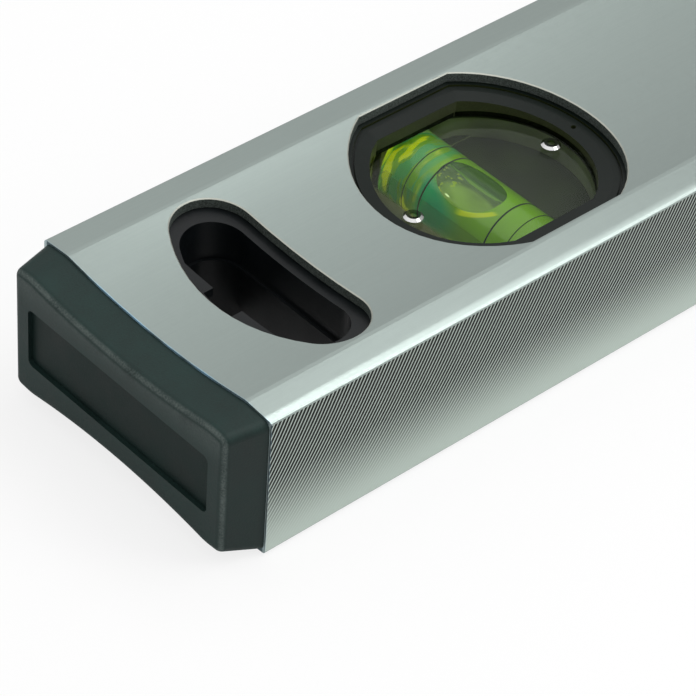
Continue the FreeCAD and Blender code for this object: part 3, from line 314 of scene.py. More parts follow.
def cap_with_wear_and_sheen():
    """The end caps' plastic: matt and grainy, its sides darker as painted shade, scuffed and
    painted with a highlight along its rounded ridges, and painted lighter on the upper part of its
    face."""
    look, size = colours(), patterns()
    material, tree = blank("cap_polypropylene")
    place = add(tree, "ShaderNodeTexCoord", out="Object")
    height = add(tree, "ShaderNodeSeparateXYZ", {0: place}, out=2)
    facing = add(tree, "ShaderNodeNewGeometry", out="Normal")
    end_on = add(tree, "ShaderNodeSeparateXYZ", {0: facing}, out=0)
    end_on = add(tree, "ShaderNodeMath", {0: end_on}, operation="ABSOLUTE")
    grain = add(tree, "ShaderNodeTexNoise",
                {"Vector": place, "Scale": 1 / size.mould_grain, "Detail": 3.0, "Roughness": 0.6})
    cloud = add(tree, "ShaderNodeTexNoise", {"Vector": place, "Scale": 150.0, "Detail": 3.0})
    both = add(tree, "ShaderNodeMath", {0: grain, 1: cloud}, operation="ADD")
    shade = add(tree, "ShaderNodeMapRange", {0: both, 1: 0.7, 2: 1.3, 3: 0.75, 4: 1.3})
    # painted shade: the faces towards the sides are darker
    side_on = add(tree, "ShaderNodeSeparateXYZ", {0: facing}, out=1)
    side_on = add(tree, "ShaderNodeMath", {0: side_on}, operation="ABSOLUTE")
    sides = add(tree, "ShaderNodeMapRange", {0: side_on, 1: 0.75, 2: 0.98, 3: 1.0, 4: 0.66})
    shade = add(tree, "ShaderNodeMath", {0: shade, 1: sides}, operation="MULTIPLY")
    black = add(tree, "ShaderNodeVectorMath", {0: tuple(look.cap), 3: shade}, operation="SCALE")

    # the rounding between the face and the sides is where the normal leans halfway
    into = add(tree, "ShaderNodeMapRange", {0: end_on, 1: 0.35, 2: 0.72, 3: 0.0, 4: 1.0},
               interpolation_type="SMOOTHSTEP")
    out_of = add(tree, "ShaderNodeMapRange", {0: end_on, 1: 0.80, 2: 0.985, 3: 1.0, 4: 0.0},
                 interpolation_type="SMOOTHSTEP")
    ridge = add(tree, "ShaderNodeMath", {0: into, 1: out_of}, operation="MULTIPLY")
    on_face = add(tree, "ShaderNodeMapRange", {0: end_on, 1: 0.95, 2: 0.99, 3: 0.0, 4: 1.0})

    # the recessed panel is darkened as painted shade, and its shine is lowered
    length = add(tree, "ShaderNodeSeparateXYZ", {0: place}, out=0)
    length = add(tree, "ShaderNodeMath", {0: length}, operation="ABSOLUTE")
    sunk = add(tree, "ShaderNodeMapRange",
               {0: length, 1: CAP_PANEL, 2: CAP_PANEL + 0.2 * MM, 3: 1.0, 4: 0.0})
    sunk = add(tree, "ShaderNodeMath", {0: sunk, 1: on_face}, operation="MULTIPLY")
    painted_panel_shade = add(tree, "ShaderNodeMapRange", {0: sunk, 1: 0.0, 2: 1.0, 3: 1.0, 4: 0.6})
    black = add(tree, "ShaderNodeVectorMath", {0: black, 3: painted_panel_shade}, operation="SCALE")
    shine = add(tree, "ShaderNodeMapRange", {0: sunk, 1: 0.0, 2: 1.0, 3: 0.22, 4: 0.13})
    # painted light: the face grows lighter towards its top
    rising = add(tree, "ShaderNodeMapRange", {0: height, 1: 0.022, 2: 0.0285, 3: 0.0, 4: 0.45},
                 interpolation_type="SMOOTHSTEP")
    upper = add(tree, "ShaderNodeMath", {0: on_face, 1: rising}, operation="MULTIPLY")
    # scuffs and a painted highlight on the rounded ridges, with the painted light of the upper face
    wear_and_sheen = add(tree, "ShaderNodeMath", {0: ridge, 1: upper}, operation="MAXIMUM")
    patchy = add(tree, "ShaderNodeMapRange", {0: both, 1: 0.75, 2: 1.25, 3: 0.15, 4: 1.0})
    wear_and_sheen = add(tree, "ShaderNodeMath", {0: wear_and_sheen, 1: patchy}, operation="MULTIPLY")
    tint = add(tree, "ShaderNodeMix", {0: wear_and_sheen, 6: black, 7: rgba(look.dust_and_sheen)}, out=2,
               data_type="RGBA")
    rough = add(tree, "ShaderNodeMapRange", {0: both, 1: 0.7, 2: 1.3, 3: 0.44, 4: 0.58})
    bump = add(tree, "ShaderNodeBump", {"Strength": 0.15, "Distance": 0.0002, "Height": grain})
    plastic = add(tree, "ShaderNodeBsdfPrincipled", {
        "Base Color": tint, "Roughness": rough, "IOR": 1.5, "Specular IOR Level": shine,
        "Normal": bump})
    add(tree, "ShaderNodeOutputMaterial", {"Surface": plastic}, out=None)
    return material


def housing_plastic():
    """The vial housings' plastic: fine grained and even, a little lighter and olive on the walls
    around the windows, where the spirit's light falls."""
    look, size = colours(), patterns()
    material, tree = blank("housing_abs")
    place = add(tree, "ShaderNodeTexCoord", out="Object")
    facing = add(tree, "ShaderNodeNewGeometry", out="Normal")
    level = add(tree, "ShaderNodeSeparateXYZ", {0: facing}, out=2)
    level = add(tree, "ShaderNodeMath", {0: level}, operation="ABSOLUTE")
    upright = add(tree, "ShaderNodeMapRange", {0: level, 1: 0.3, 2: 0.6, 3: 1.0, 4: 0.0})

    # the face in the beam's top edge is an outer face
    off_middle = add(tree, "ShaderNodeSeparateXYZ", {0: place}, out=1)
    covered = add(tree, "ShaderNodeMath", {0: off_middle, 1: TOP_EDGE}, operation="LESS_THAN")
    upright = add(tree, "ShaderNodeMath", {0: upright, 1: covered}, operation="MULTIPLY")
    grain = add(tree, "ShaderNodeTexNoise",
                {"Vector": place, "Scale": 1 / size.mould_grain, "Detail": 3.0, "Roughness": 0.6})
    shade = add(tree, "ShaderNodeMapRange", {0: grain, 1: 0.3, 2: 0.7, 3: 0.8, 4: 1.25})
    tint = add(tree, "ShaderNodeMix",
               {0: upright, 6: rgba(look.housing), 7: rgba(look.housing_wall)}, out=2,
               data_type="RGBA")
    tint = add(tree, "ShaderNodeVectorMath", {0: tint, 3: shade}, operation="SCALE")
    rough = add(tree, "ShaderNodeMapRange", {0: grain, 1: 0.3, 2: 0.7, 3: 0.32, 4: 0.42})
    bump = add(tree, "ShaderNodeBump", {"Strength": 0.06, "Distance": 0.0002, "Height": grain})
    plastic = add(tree, "ShaderNodeBsdfPrincipled", {
        "Base Color": tint, "Roughness": rough, "IOR": 1.5, "Specular IOR Level": 0.16,
        "Normal": bump})
    add(tree, "ShaderNodeOutputMaterial", {"Surface": plastic}, out=None)
    return material


def smoked_acrylic():
    """The smoky carriers: smooth and olive, with painted light making their upright walls a little
    lighter, and soft wide clouds."""
    look = colours()
    material, tree = blank("carrier_smoked_acrylic")
    place = add(tree, "ShaderNodeTexCoord", out="Object")
    facing = add(tree, "ShaderNodeNewGeometry", out="Normal")
    level = add(tree, "ShaderNodeSeparateXYZ", {0: facing}, out=2)
    level = add(tree, "ShaderNodeMath", {0: level}, operation="ABSOLUTE")
    upright = add(tree, "ShaderNodeMapRange", {0: level, 1: 0.3, 2: 0.7, 3: 1.0, 4: 0.0})
    cloud = add(tree, "ShaderNodeTexNoise", {"Vector": place, "Scale": 110.0, "Detail": 1.0})
    shade = add(tree, "ShaderNodeMapRange", {0: cloud, 1: 0.3, 2: 0.7, 3: 0.7, 4: 1.35})
    # painted light: the upright walls are lighter
    tint = add(tree, "ShaderNodeMix",
               {0: upright, 6: rgba(look.carrier), 7: rgba(look.carrier_wall_light)}, out=2,
               data_type="RGBA")
    tint = add(tree, "ShaderNodeVectorMath", {0: tint, 3: shade}, operation="SCALE")

    # on the outer side of the barrel the carrier is clear enough to show the barrel's flank, and
    # further out it is tinted by the spirit's light
    x, y = (add(tree, "ShaderNodeSeparateXYZ", {0: place}, out=i) for i in range(2))
    off_middle = add(tree, "ShaderNodeMath", {0: x}, operation="ABSOLUTE")
    outward = add(tree, "ShaderNodeMath", {0: off_middle, 1: PLUMB_AXIS}, operation="SUBTRACT")
    beside = add(tree, "ShaderNodeMapRange", {0: outward, 1: 0.0110, 2: 0.0124, 3: 0.94, 4: 0.0},
                 interpolation_type="SMOOTHSTEP")
    outer = add(tree, "ShaderNodeMath", {0: outward, 1: 0.0}, operation="GREATER_THAN")
    beside = add(tree, "ShaderNodeMath", {0: beside, 1: outer}, operation="MULTIPLY")
    off_middle = add(tree, "ShaderNodeMath", {0: y}, operation="ABSOLUTE")
    within = add(tree, "ShaderNodeMapRange", {0: off_middle, 1: 0.0188, 2: 0.0192, 3: 1.0, 4: 0.0})
    clear = add(tree, "ShaderNodeMath", {0: beside, 1: within}, operation="MULTIPLY")
    tinted = add(tree, "ShaderNodeMapRange", {0: outward, 1: 0.0115, 2: 0.0165, 3: 0.6, 4: 0.0},
                 interpolation_type="SMOOTHSTEP")
    tinted = add(tree, "ShaderNodeMath", {0: tinted, 1: outer}, operation="MULTIPLY")
    tint = add(tree, "ShaderNodeMix", {0: tinted, 6: tint, 7: rgba(look.carrier_glow)}, out=2,
               data_type="RGBA")
    rough = add(tree, "ShaderNodeMapRange", {0: cloud, 1: 0.3, 2: 0.7, 3: 0.28, 4: 0.4})
    smoky = add(tree, "ShaderNodeBsdfPrincipled", {
        "Base Color": tint, "Roughness": rough, "IOR": 1.49, "Specular IOR Level": 0.2})
    through = add(tree, "ShaderNodeBsdfTransparent", {0: rgba(look.carrier_clear)})
    both = add(tree, "ShaderNodeMixShader", {0: clear, 1: smoky, 2: through})
    add(tree, "ShaderNodeOutputMaterial", {"Surface": both}, out=None)
    return material


def barrel_acrylic():
    """Clear tinted acrylic that carries some of the spirit's light, with a faint polishing haze.
    Lamps shine through it."""
    look = colours()
    material, tree = blank("barrel_acrylic")
    place = add(tree, "ShaderNodeTexCoord", out="Object")
    haze = add(tree, "ShaderNodeTexNoise", {"Vector": place, "Scale": 200.0, "Detail": 3.0})
    rough = add(tree, "ShaderNodeMapRange", {0: haze, 1: 0.4, 2: 0.8, 3: 0.01, 4: 0.05})

    # the closed ends gather light: beyond 19.3 mm across the beam, or 26.1 mm along the level vial
    x, y = (add(tree, "ShaderNodeSeparateXYZ", {0: place}, out=i) for i in range(2))
    off_middle = add(tree, "ShaderNodeMath", {0: x}, operation="ABSOLUTE")
    plumb = add(tree, "ShaderNodeMath", {0: off_middle, 1: LEVEL_ZONE}, operation="GREATER_THAN")
    plumb_end = add(tree, "ShaderNodeMapRange", {0: y, 1: 0.0193, 2: 0.0200, 3: 0.0, 4: 1.0})
    level_end = add(tree, "ShaderNodeMapRange", {0: x, 1: 0.0261, 2: 0.0268, 3: 0.0, 4: 1.0})
    at_end = add(tree, "ShaderNodeMix", {0: plumb, 2: level_end, 3: plumb_end},
                 data_type="FLOAT")
    gathered = add(tree, "ShaderNodeMapRange", {0: at_end, 1: 0.0, 2: 1.0, 3: 0.045, 4: 0.16})
    glass = add(tree, "ShaderNodeBsdfPrincipled", {
        "Base Color": rgba(look.barrel), "Roughness": rough, "IOR": 1.49,
        "Transmission Weight": 1.0, "Emission Color": rgba(look.glow),
        "Emission Strength": gathered})
    through = add(tree, "ShaderNodeBsdfTransparent", {0: rgba(look.barrel)})
    shadow = add(tree, "ShaderNodeLightPath", out="Is Shadow Ray")
    diffuse = add(tree, "ShaderNodeLightPath", out="Is Diffuse Ray")
    lit = add(tree, "ShaderNodeMath", {0: shadow, 1: diffuse}, operation="MAXIMUM")
    both = add(tree, "ShaderNodeMixShader", {0: lit, 1: glass, 2: through})
    add(tree, "ShaderNodeOutputMaterial", {"Surface": both}, out=None)
    return material


def cover_acrylic():
    """A thin polished plate: what is behind shows unbent under a faint even reflection. Its cut
    walls are dim, and the sloped sides of its small studs shine."""
    look = colours()
    material, tree = blank("cover_acrylic")
    place = add(tree, "ShaderNodeTexCoord", out="Object")
    height = add(tree, "ShaderNodeSeparateXYZ", {0: place}, out=2)
    facing = add(tree, "ShaderNodeNewGeometry", out="Normal")
    level = add(tree, "ShaderNodeSeparateXYZ", {0: facing}, out=2)
    level = add(tree, "ShaderNodeMath", {0: level}, operation="ABSOLUTE")
    haze = add(tree, "ShaderNodeTexNoise", {"Vector": place, "Scale": 250.0, "Detail": 3.0})
    rough = add(tree, "ShaderNodeMapRange", {0: haze, 1: 0.4, 2: 0.8, 3: 0.02, 4: 0.07})

    # the studs stand above the plate
    from_middle = add(tree, "ShaderNodeMath", {0: height, 1: MID_PLANE}, operation="SUBTRACT")
    from_middle = add(tree, "ShaderNodeMath", {0: from_middle}, operation="ABSOLUTE")
    on_stud = add(tree, "ShaderNodeMapRange",
                  {0: from_middle, 1: STUD_START, 2: STUD_START + 0.02 * MM, 3: 0.0, 4: 1.0})
    sloped = add(tree, "ShaderNodeMapRange", {0: level, 1: 0.9, 2: 0.95, 3: 0.6, 4: 0.0})
    wall = add(tree, "ShaderNodeMapRange", {0: level, 1: 0.2, 2: 0.4, 3: 1.0, 4: 0.0})

    # the level vial's cover in the top edge stands upright, so its wide faces look along y
    x = add(tree, "ShaderNodeSeparateXYZ", {0: place}, out=0)
    x = add(tree, "ShaderNodeMath", {0: x}, operation="ABSOLUTE")
    away = add(tree, "ShaderNodeMath", {0: x, 1: LEVEL_ZONE}, operation="GREATER_THAN")
    side_on = add(tree, "ShaderNodeSeparateXYZ", {0: facing}, out=1)
    side_on = add(tree, "ShaderNodeMath", {0: side_on}, operation="ABSOLUTE")
    narrow = add(tree, "ShaderNodeMath", {0: side_on, 1: 0.9}, operation="LESS_THAN")
    cut = add(tree, "ShaderNodeMath", {0: away, 1: narrow}, operation="MAXIMUM")
    wall = add(tree, "ShaderNodeMath", {0: wall, 1: cut}, operation="MULTIPLY")
    sloped = add(tree, "ShaderNodeMath", {0: sloped, 1: wall}, operation="SUBTRACT",
                 use_clamp=True)
    shiny = add(tree, "ShaderNodeMath", {0: on_stud, 1: sloped}, operation="MULTIPLY")
    clear = add(tree, "ShaderNodeMix", {0: wall, 6: rgba(look.cover), 7: rgba(look.cover_wall)},
                out=2, data_type="RGBA")
    clear = add(tree, "ShaderNodeMix", {0: on_stud, 6: clear, 7: rgba(look.cover_wall)}, out=2,
                data_type="RGBA")
    gloss = add(tree, "ShaderNodeBsdfGlossy", {"Color": (1, 1, 1, 1), "Roughness": rough})
    through = add(tree, "ShaderNodeBsdfTransparent", {0: clear})
    sheen = add(tree, "ShaderNodeFresnel", {"IOR": 1.14})
    share = add(tree, "ShaderNodeMath", {0: sheen, 1: shiny}, operation="MAXIMUM")
    dull = add(tree, "ShaderNodeMapRange", {0: wall, 1: 0.0, 2: 1.0, 3: 1.0, 4: 0.1})
    share = add(tree, "ShaderNodeMath", {0: share, 1: dull}, operation="MULTIPLY")
    plate = add(tree, "ShaderNodeMixShader", {0: share, 1: through, 2: gloss})
    add(tree, "ShaderNodeOutputMaterial", {"Surface": plate}, out=None)
    return material


def bright_spirit():
    """Fluorescent yellow-green spirit: plain towards the plug, with painted teal shade along the
    bubble and in veins at the closed end, where it is also banded with yellow light. It reads each
    vial's own coordinates."""
    look = colours()
    material, tree = blank("vial_spirit")
    place = add(tree, "ShaderNodeAttribute", out="Vector", attribute_name=VIAL_PLACE)
    across, along = (add(tree, "ShaderNodeSeparateXYZ", {0: place}, out=i) for i in range(2))
    banded = add(tree, "ShaderNodeMapping", {0: place, 3: (130.0, 430.0, 130.0)})
    band = add(tree, "ShaderNodeTexNoise", {"Vector": banded, "Scale": 1.0, "Detail": 2.0})
    cloud = add(tree, "ShaderNodeTexNoise", {"Vector": place, "Scale": 130.0, "Detail": 1.0})

    # painted shade: teal runs from the inner ring at the closed end back along the lower side of
    # the bubble
    before = add(tree, "ShaderNodeMapRange", {0: along, 1: 0.0115, 2: 0.0090, 3: 0.0, 4: 1.0},
                 interpolation_type="SMOOTHSTEP")
    lean = add(tree, "ShaderNodeMath", {0: across, 1: 3.6}, operation="MULTIPLY")
    slant = add(tree, "ShaderNodeMath", {0: along, 1: lean}, operation="SUBTRACT")
    after = add(tree, "ShaderNodeMapRange", {0: slant, 1: 0.0150, 2: 0.0215, 3: 0.0, 4: 1.0},
                interpolation_type="SMOOTHSTEP")
    teal_shade = add(tree, "ShaderNodeMath", {0: before, 1: after}, operation="MULTIPLY")
    far = add(tree, "ShaderNodeMapRange", {0: along, 1: 0.0090, 2: 0.0120, 3: 0.0, 4: 1.0},
              interpolation_type="SMOOTHSTEP")
    # painted shade: teal veins at the closed end
    veined = add(tree, "ShaderNodeMapRange", {0: band, 1: 0.49, 2: 0.57, 3: 0.0, 4: 0.6},
                 interpolation_type="SMOOTHSTEP")
    veined = add(tree, "ShaderNodeMath", {0: veined, 1: far}, operation="MULTIPLY")
    teal_shade = add(tree, "ShaderNodeMath", {0: teal_shade, 1: veined}, operation="MAXIMUM")
    bright = add(tree, "ShaderNodeMapRange", {0: band, 1: 0.44, 2: 0.39, 3: 0.0, 4: 1.0},
                 interpolation_type="SMOOTHSTEP")
    bright = add(tree, "ShaderNodeMath", {0: bright, 1: far}, operation="MULTIPLY")

    # a painted yellow glint: an arc just outside the bubble's outline, on its lower side towards
    # the plug
    around = add(tree, "ShaderNodeAttribute", out="Vector", attribute_name=BUBBLE_PLACE)
    towards = add(tree, "ShaderNodeSeparateXYZ", {0: around}, out=1)
    beside = add(tree, "ShaderNodeSeparateXYZ", {0: around}, out=0)
    flat = add(tree, "ShaderNodeMapping", {0: around, 3: (1.0, 1.0, 0.0)})
    radius = add(tree, "ShaderNodeVectorMath", {0: flat}, out=1, operation="LENGTH")
    offset = add(tree, "ShaderNodeMath", {0: radius, 1: 1.10}, operation="SUBTRACT")
    offset = add(tree, "ShaderNodeMath", {0: offset}, operation="ABSOLUTE")
    arc = add(tree, "ShaderNodeMapRange", {0: offset, 1: 0.05, 2: 0.09, 3: 0.9, 4: 0.0},
              interpolation_type="SMOOTHSTEP")
    below = add(tree, "ShaderNodeMapRange", {0: beside, 1: -0.35, 2: -0.5, 3: 0.0, 4: 1.0})
    plugward = add(tree, "ShaderNodeMapRange", {0: towards, 1: -0.1, 2: -0.3, 3: 0.0, 4: 1.0})
    arc = add(tree, "ShaderNodeMath", {0: arc, 1: below}, operation="MULTIPLY")
    arc = add(tree, "ShaderNodeMath", {0: arc, 1: plugward}, operation="MULTIPLY")
    bright = add(tree, "ShaderNodeMath", {0: bright, 1: arc}, operation="MAXIMUM")
    tone = add(tree, "ShaderNodeMapRange", {0: cloud, 1: 0.3, 2: 0.7, 3: 0.95, 4: 1.12})
    plain = add(tree, "ShaderNodeVectorMath", {0: tuple(look.liquid), 3: tone}, operation="SCALE")
    colour = add(tree, "ShaderNodeMix", {0: teal_shade, 6: plain, 7: rgba(look.painted_liquid_shade)}, out=2,
                 data_type="RGBA")
    colour = add(tree, "ShaderNodeMix", {0: bright, 6: colour, 7: rgba(look.glint)}, out=2,
                 data_type="RGBA")
    # painted glow: the spirit emits faintly everywhere and more strongly in its painted yellow
    # light
    glow = add(tree, "ShaderNodeMapRange", {0: bright, 1: 0.0, 2: 1.0, 3: 0.1, 4: 0.35})
    body = add(tree, "ShaderNodeBsdfPrincipled", {
        "Base Color": colour, "Roughness": 0.05, "IOR": 1.33, "Transmission Weight": 0.3,
        "Emission Color": colour, "Emission Strength": glow})
    through = add(tree, "ShaderNodeBsdfTransparent", {0: rgba(look.liquid)})
    path = add(tree, "ShaderNodeLightPath", out="Is Shadow Ray")
    both = add(tree, "ShaderNodeMixShader", {0: path, 1: body, 2: through})
    add(tree, "ShaderNodeOutputMaterial", {"Surface": both}, out=None)
    return material


def bubble_skin():
    """The skin between spirit and gas: a pale grey-green cup whose rim is darkened as painted
    shade, with yellow light caught at its two ends and a small painted white highlight. It reads
    each bubble's own coordinates."""
    look = colours()
    material, tree = blank("bubble_skin")
    place = add(tree, "ShaderNodeAttribute", out="Vector", attribute_name=BUBBLE_PLACE)
    along = add(tree, "ShaderNodeSeparateXYZ", {0: place}, out=1)
    flat = add(tree, "ShaderNodeMapping", {0: place, 3: (1.0, 1.0, 0.0)})
    radius = add(tree, "ShaderNodeVectorMath", {0: flat}, out=1, operation="LENGTH")
    cloud = add(tree, "ShaderNodeTexNoise", {"Vector": place, "Scale": 1.8, "Detail": 1.0})
    # painted shade: the cup darkens towards its rim
    rim = add(tree, "ShaderNodeMapRange", {0: radius, 1: 0.74, 2: 0.88, 3: 1.0, 4: 0.3},
              interpolation_type="SMOOTHSTEP")
    tone = add(tree, "ShaderNodeMapRange", {0: cloud, 1: 0.3, 2: 0.7, 3: 0.8, 4: 1.2})
    both = add(tree, "ShaderNodeMath", {0: rim, 1: tone}, operation="MULTIPLY")
    colour = add(tree, "ShaderNodeVectorMath", {0: tuple(look.bubble), 3: both},
                 operation="SCALE")
    reach = add(tree, "ShaderNodeMath", {0: along}, operation="ABSOLUTE")
    at_ends = add(tree, "ShaderNodeMapRange", {0: reach, 1: 0.50, 2: 0.62, 3: 0.0, 4: 1.0})
    fine = add(tree, "ShaderNodeTexNoise", {"Vector": place, "Scale": 5.0, "Detail": 1.0})
    caught = add(tree, "ShaderNodeMapRange", {0: fine, 1: 0.58, 2: 0.64, 3: 0.0, 4: 1.0})
    caught = add(tree, "ShaderNodeMath", {0: caught, 1: at_ends}, operation="MULTIPLY")
    colour = add(tree, "ShaderNodeMix", {0: caught, 6: colour, 7: rgba(look.glint)}, out=2,
                 data_type="RGBA")
    # a small painted white highlight, glowing as emission
    from_spark = add(tree, "ShaderNodeVectorMath", {0: flat, 1: (-0.35, 0.5, 0.0)}, out=1,
                     operation="DISTANCE")
    painted_highlight = add(tree, "ShaderNodeMapRange", {0: from_spark, 1: 0.05, 2: 0.08, 3: 1.0, 4: 0.0})
    skin = add(tree, "ShaderNodeBsdfPrincipled", {
        "Base Color": colour, "Roughness": 0.06, "IOR": 1.33,
        "Emission Color": rgba(look.floor), "Emission Strength": painted_highlight})
    add(tree, "ShaderNodeOutputMaterial", {"Surface": skin}, out=None)
    return material


def plated(name, colour, roughness):
    """Bright plating over turned metal, with fine scuffs."""
    material, tree = blank(name)
    place = add(tree, "ShaderNodeTexCoord", out="Object")
    scuff = add(tree, "ShaderNodeTexNoise", {"Vector": place, "Scale": 2500.0, "Detail": 4.0})
    shade = add(tree, "ShaderNodeMapRange", {0: scuff, 1: 0.3, 2: 0.7, 3: 0.85, 4: 1.1})
    tint = add(tree, "ShaderNodeVectorMath", {0: tuple(colour), 3: shade}, operation="SCALE")
    rough = add(tree, "ShaderNodeMapRange",
                {0: scuff, 1: 0.3, 2: 0.7, 3: roughness - 0.05, 4: roughness + 0.1})
    metal = add(tree, "ShaderNodeBsdfPrincipled", {
        "Base Color": tint, "Metallic": 1.0, "Roughness": rough})
    add(tree, "ShaderNodeOutputMaterial", {"Surface": metal}, out=None)
    return material


def dress(names, material):
    """Gives CAD nodes their finish."""
    for name in names:
        node = NODES[name]
        node.data.materials.clear()
        node.data.materials.append(material)


def named(*words):
    """The CAD nodes whose names hold all of these words."""
    found = sorted(n for n in NODES if all(w in n for w in words))
    if not found:
        raise RuntimeError(f"no node is named with {words}")
    return found


def wetted_copy(unit):
    """A merged, smooth copy of a vial's liquid, grown a little so that it wets its barrel. It
    holds its place in the vial and from the bubble as attributes, mirrored for the right unit,
    and the bubble's faces take the second slot."""
    low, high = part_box(f"{unit}_vial_liquid")
    tube_low, tube_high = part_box(f"{unit}_vial_tube")
    middle = (tube_low + tube_high) / 2
    along = 0 if high.x - low.x > high.y - low.y else 1
    across = 1 - along
    mesh = bpy.data.meshes.new(f"{unit}_spirit")
    shape = bmesh.new()
    shape.from_mesh(NODES[f"{unit}_vial_liquid"].data)
    bmesh.ops.remove_doubles(shape, verts=shape.verts, dist=SEAM)
    shape.normal_update()
    bore = high.z - middle.z
    skin = []
    for face in shape.faces:
        centre = face.calc_center_median() - middle
        off_wall = math.hypot(centre[across], centre.z) < bore * SKIN_SHARE
        if off_wall and abs(centre[along]) < BUBBLE_REACH:
            face.material_index = 1
            skin += [vert.co.copy() for vert in face.verts]
        face.smooth = True
    for vert in shape.verts:
        vert.co += vert.normal * WETTING
    shape.to_mesh(mesh)
    shape.free()
    mesh.set_sharp_from_angle(angle=math.radians(35))
    place = mesh.attributes.new(VIAL_PLACE, "FLOAT_VECTOR", "POINT")
    from_bubble = mesh.attributes.new(BUBBLE_PLACE, "FLOAT_VECTOR", "POINT")
    skin_low = Vector([min(co[axis] for co in skin) for axis in range(3)])
    skin_high = Vector([max(co[axis] for co in skin) for axis in range(3)])
    bubble, half = (skin_low + skin_high) / 2, (skin_high - skin_low) / 2
    side = -1 if middle.x > LEVEL_ZONE else 1
    for number, vert in enumerate(mesh.vertices):
        offset = vert.co - middle
        place.data[number].vector = (side * offset[across], offset[along], offset.z)
        share = [(vert.co[axis] - bubble[axis]) / half[axis] for axis in range(3)]
        from_bubble.data[number].vector = (side * share[across], share[along], share[2])
    piece = bpy.data.objects.new(f"{unit}_spirit", mesh)
    bpy.context.scene.collection.objects.link(piece)
    return piece


class LEVEL_OT_beam(bpy.types.Operator):
    """Finish the aluminium beam"""

    bl_idname = "level.beam"
    bl_label = "Beam"

    def execute(self, context):
        dress(["beam_extrusion"], anodised_aluminium())
        return {"FINISHED"}


class LEVEL_OT_caps(bpy.types.Operator):
    """Finish the moulded end caps"""

    bl_idname = "level.caps"
    bl_label = "End caps"

    def execute(self, context):
        dress(named("end_cap"), cap_with_wear_and_sheen())
        return {"FINISHED"}


class LEVEL_OT_liners(bpy.types.Operator):
    """Finish the liners of the hang holes"""

    bl_idname = "level.liners"
    bl_label = "Hang hole liners"

    def execute(self, context):
        plastic = moulded("liner_abs", colours().liner, 0.34, patterns().mould_grain, 0.1)
        dress(named("liner"), plastic)
        return {"FINISHED"}


class LEVEL_OT_housings(bpy.types.Operator):
    """Finish the vial housings"""

    bl_idname = "level.housings"
    bl_label = "Vial housings"

    def execute(self, context):
        dress(named("bezel"), housing_plastic())
        return {"FINISHED"}


class LEVEL_OT_covers(bpy.types.Operator):
    """Finish the clear covers and the smoky carriers"""

    bl_idname = "level.covers"
    bl_label = "Covers and carriers"

    def execute(self, context):
        dress(named("window_"), cover_acrylic())
        dress(named("carrier"), smoked_acrylic())
        return {"FINISHED"}


class LEVEL_OT_vials(bpy.types.Operator):
    """Finish the vials: barrels, spirit, plugs and graduations"""

    bl_idname = "level.vials"
    bl_label = "Vials"

    def execute(self, context):
        look = colours()
        dress(named("vial_tube"), barrel_acrylic())
        spirit, skin = bright_spirit(), bubble_skin()
        for unit in UNITS:
            piece = wetted_copy(unit)
            piece.data.materials.append(spirit)
            piece.data.materials.append(skin)
            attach(piece, "root")
            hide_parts(f"{unit}_vial_liquid")
        plug = moulded("plug_polyethylene", look.plug, 0.45, patterns().mould_grain)
        dress(named("vial_plug"), plug)
        ink = moulded("graduation_ink", look.ink, 0.4, patterns().mould_grain, 0.02)
        dress(named("vial_rings"), ink)
        return {"FINISHED"}


class LEVEL_OT_magnets(bpy.types.Operator):
    """Finish the magnets in the base"""

    bl_idname = "level.magnets"
    bl_label = "Magnets"

    def execute(self, context):
        look = colours()
        dress(named("magnet_cup"), plated("plated_steel", look.steel, 0.3))
        dress(named("magnet_disc"), plated("nickel_plating", look.nickel, 0.2))
        return {"FINISHED"}


class LEVEL_OT_stage(bpy.types.Operator):
    """Set the floor, the soft lights, the world and the camera"""

    bl_idname = "level.stage"
    bl_label = "Stage"

    def execute(self, context):
        scene = context.scene
        scene.view_settings.view_transform = "Standard"
        lay_floor()
        light_world(scene)
        for lamp in SOFT_LAMPS:
            soft_lamp(*lamp)
        set_camera(scene)
        return {"FINISHED"}


def lay_floor():
    """A pale floor that the camera sees near white and that keeps a faint shadow."""
    shape = bmesh.new()
    bmesh.ops.create_grid(shape, x_segments=1, y_segments=1, size=6.0)
    mesh = bpy.data.meshes.new("floor")
    shape.to_mesh(mesh)
    shape.free()
    floor = bpy.data.objects.new("floor", mesh)
    bpy.context.scene.collection.objects.link(floor)
    material, tree = blank("pale_floor")
    tone = rgba(colours().floor)
    matt = add(tree, "ShaderNodeBsdfDiffuse", {"Color": tone})
    glow = add(tree, "ShaderNodeEmission", {"Color": (1, 1, 1, 1), "Strength": 1.0})
    camera = add(tree, "ShaderNodeLightPath", out="Is Camera Ray")
    glossy = add(tree, "ShaderNodeLightPath", out="Is Glossy Ray")
    through = add(tree, "ShaderNodeLightPath", out="Is Transmission Ray")
    mirrored = add(tree, "ShaderNodeMath", {0: glossy, 1: through}, operation="MAXIMUM")
    part = add(tree, "ShaderNodeMath", {0: mirrored, 1: 0.2}, operation="MULTIPLY")
    seen = add(tree, "ShaderNodeMath", {0: camera, 1: 0.8}, operation="MULTIPLY")
    share = add(tree, "ShaderNodeMath", {0: seen, 1: part}, operation="MAXIMUM")
    both = add(tree, "ShaderNodeMixShader", {0: share, 1: matt, 2: glow})
    add(tree, "ShaderNodeOutputMaterial", {"Surface": both}, out=None)
    mesh.materials.append(material)


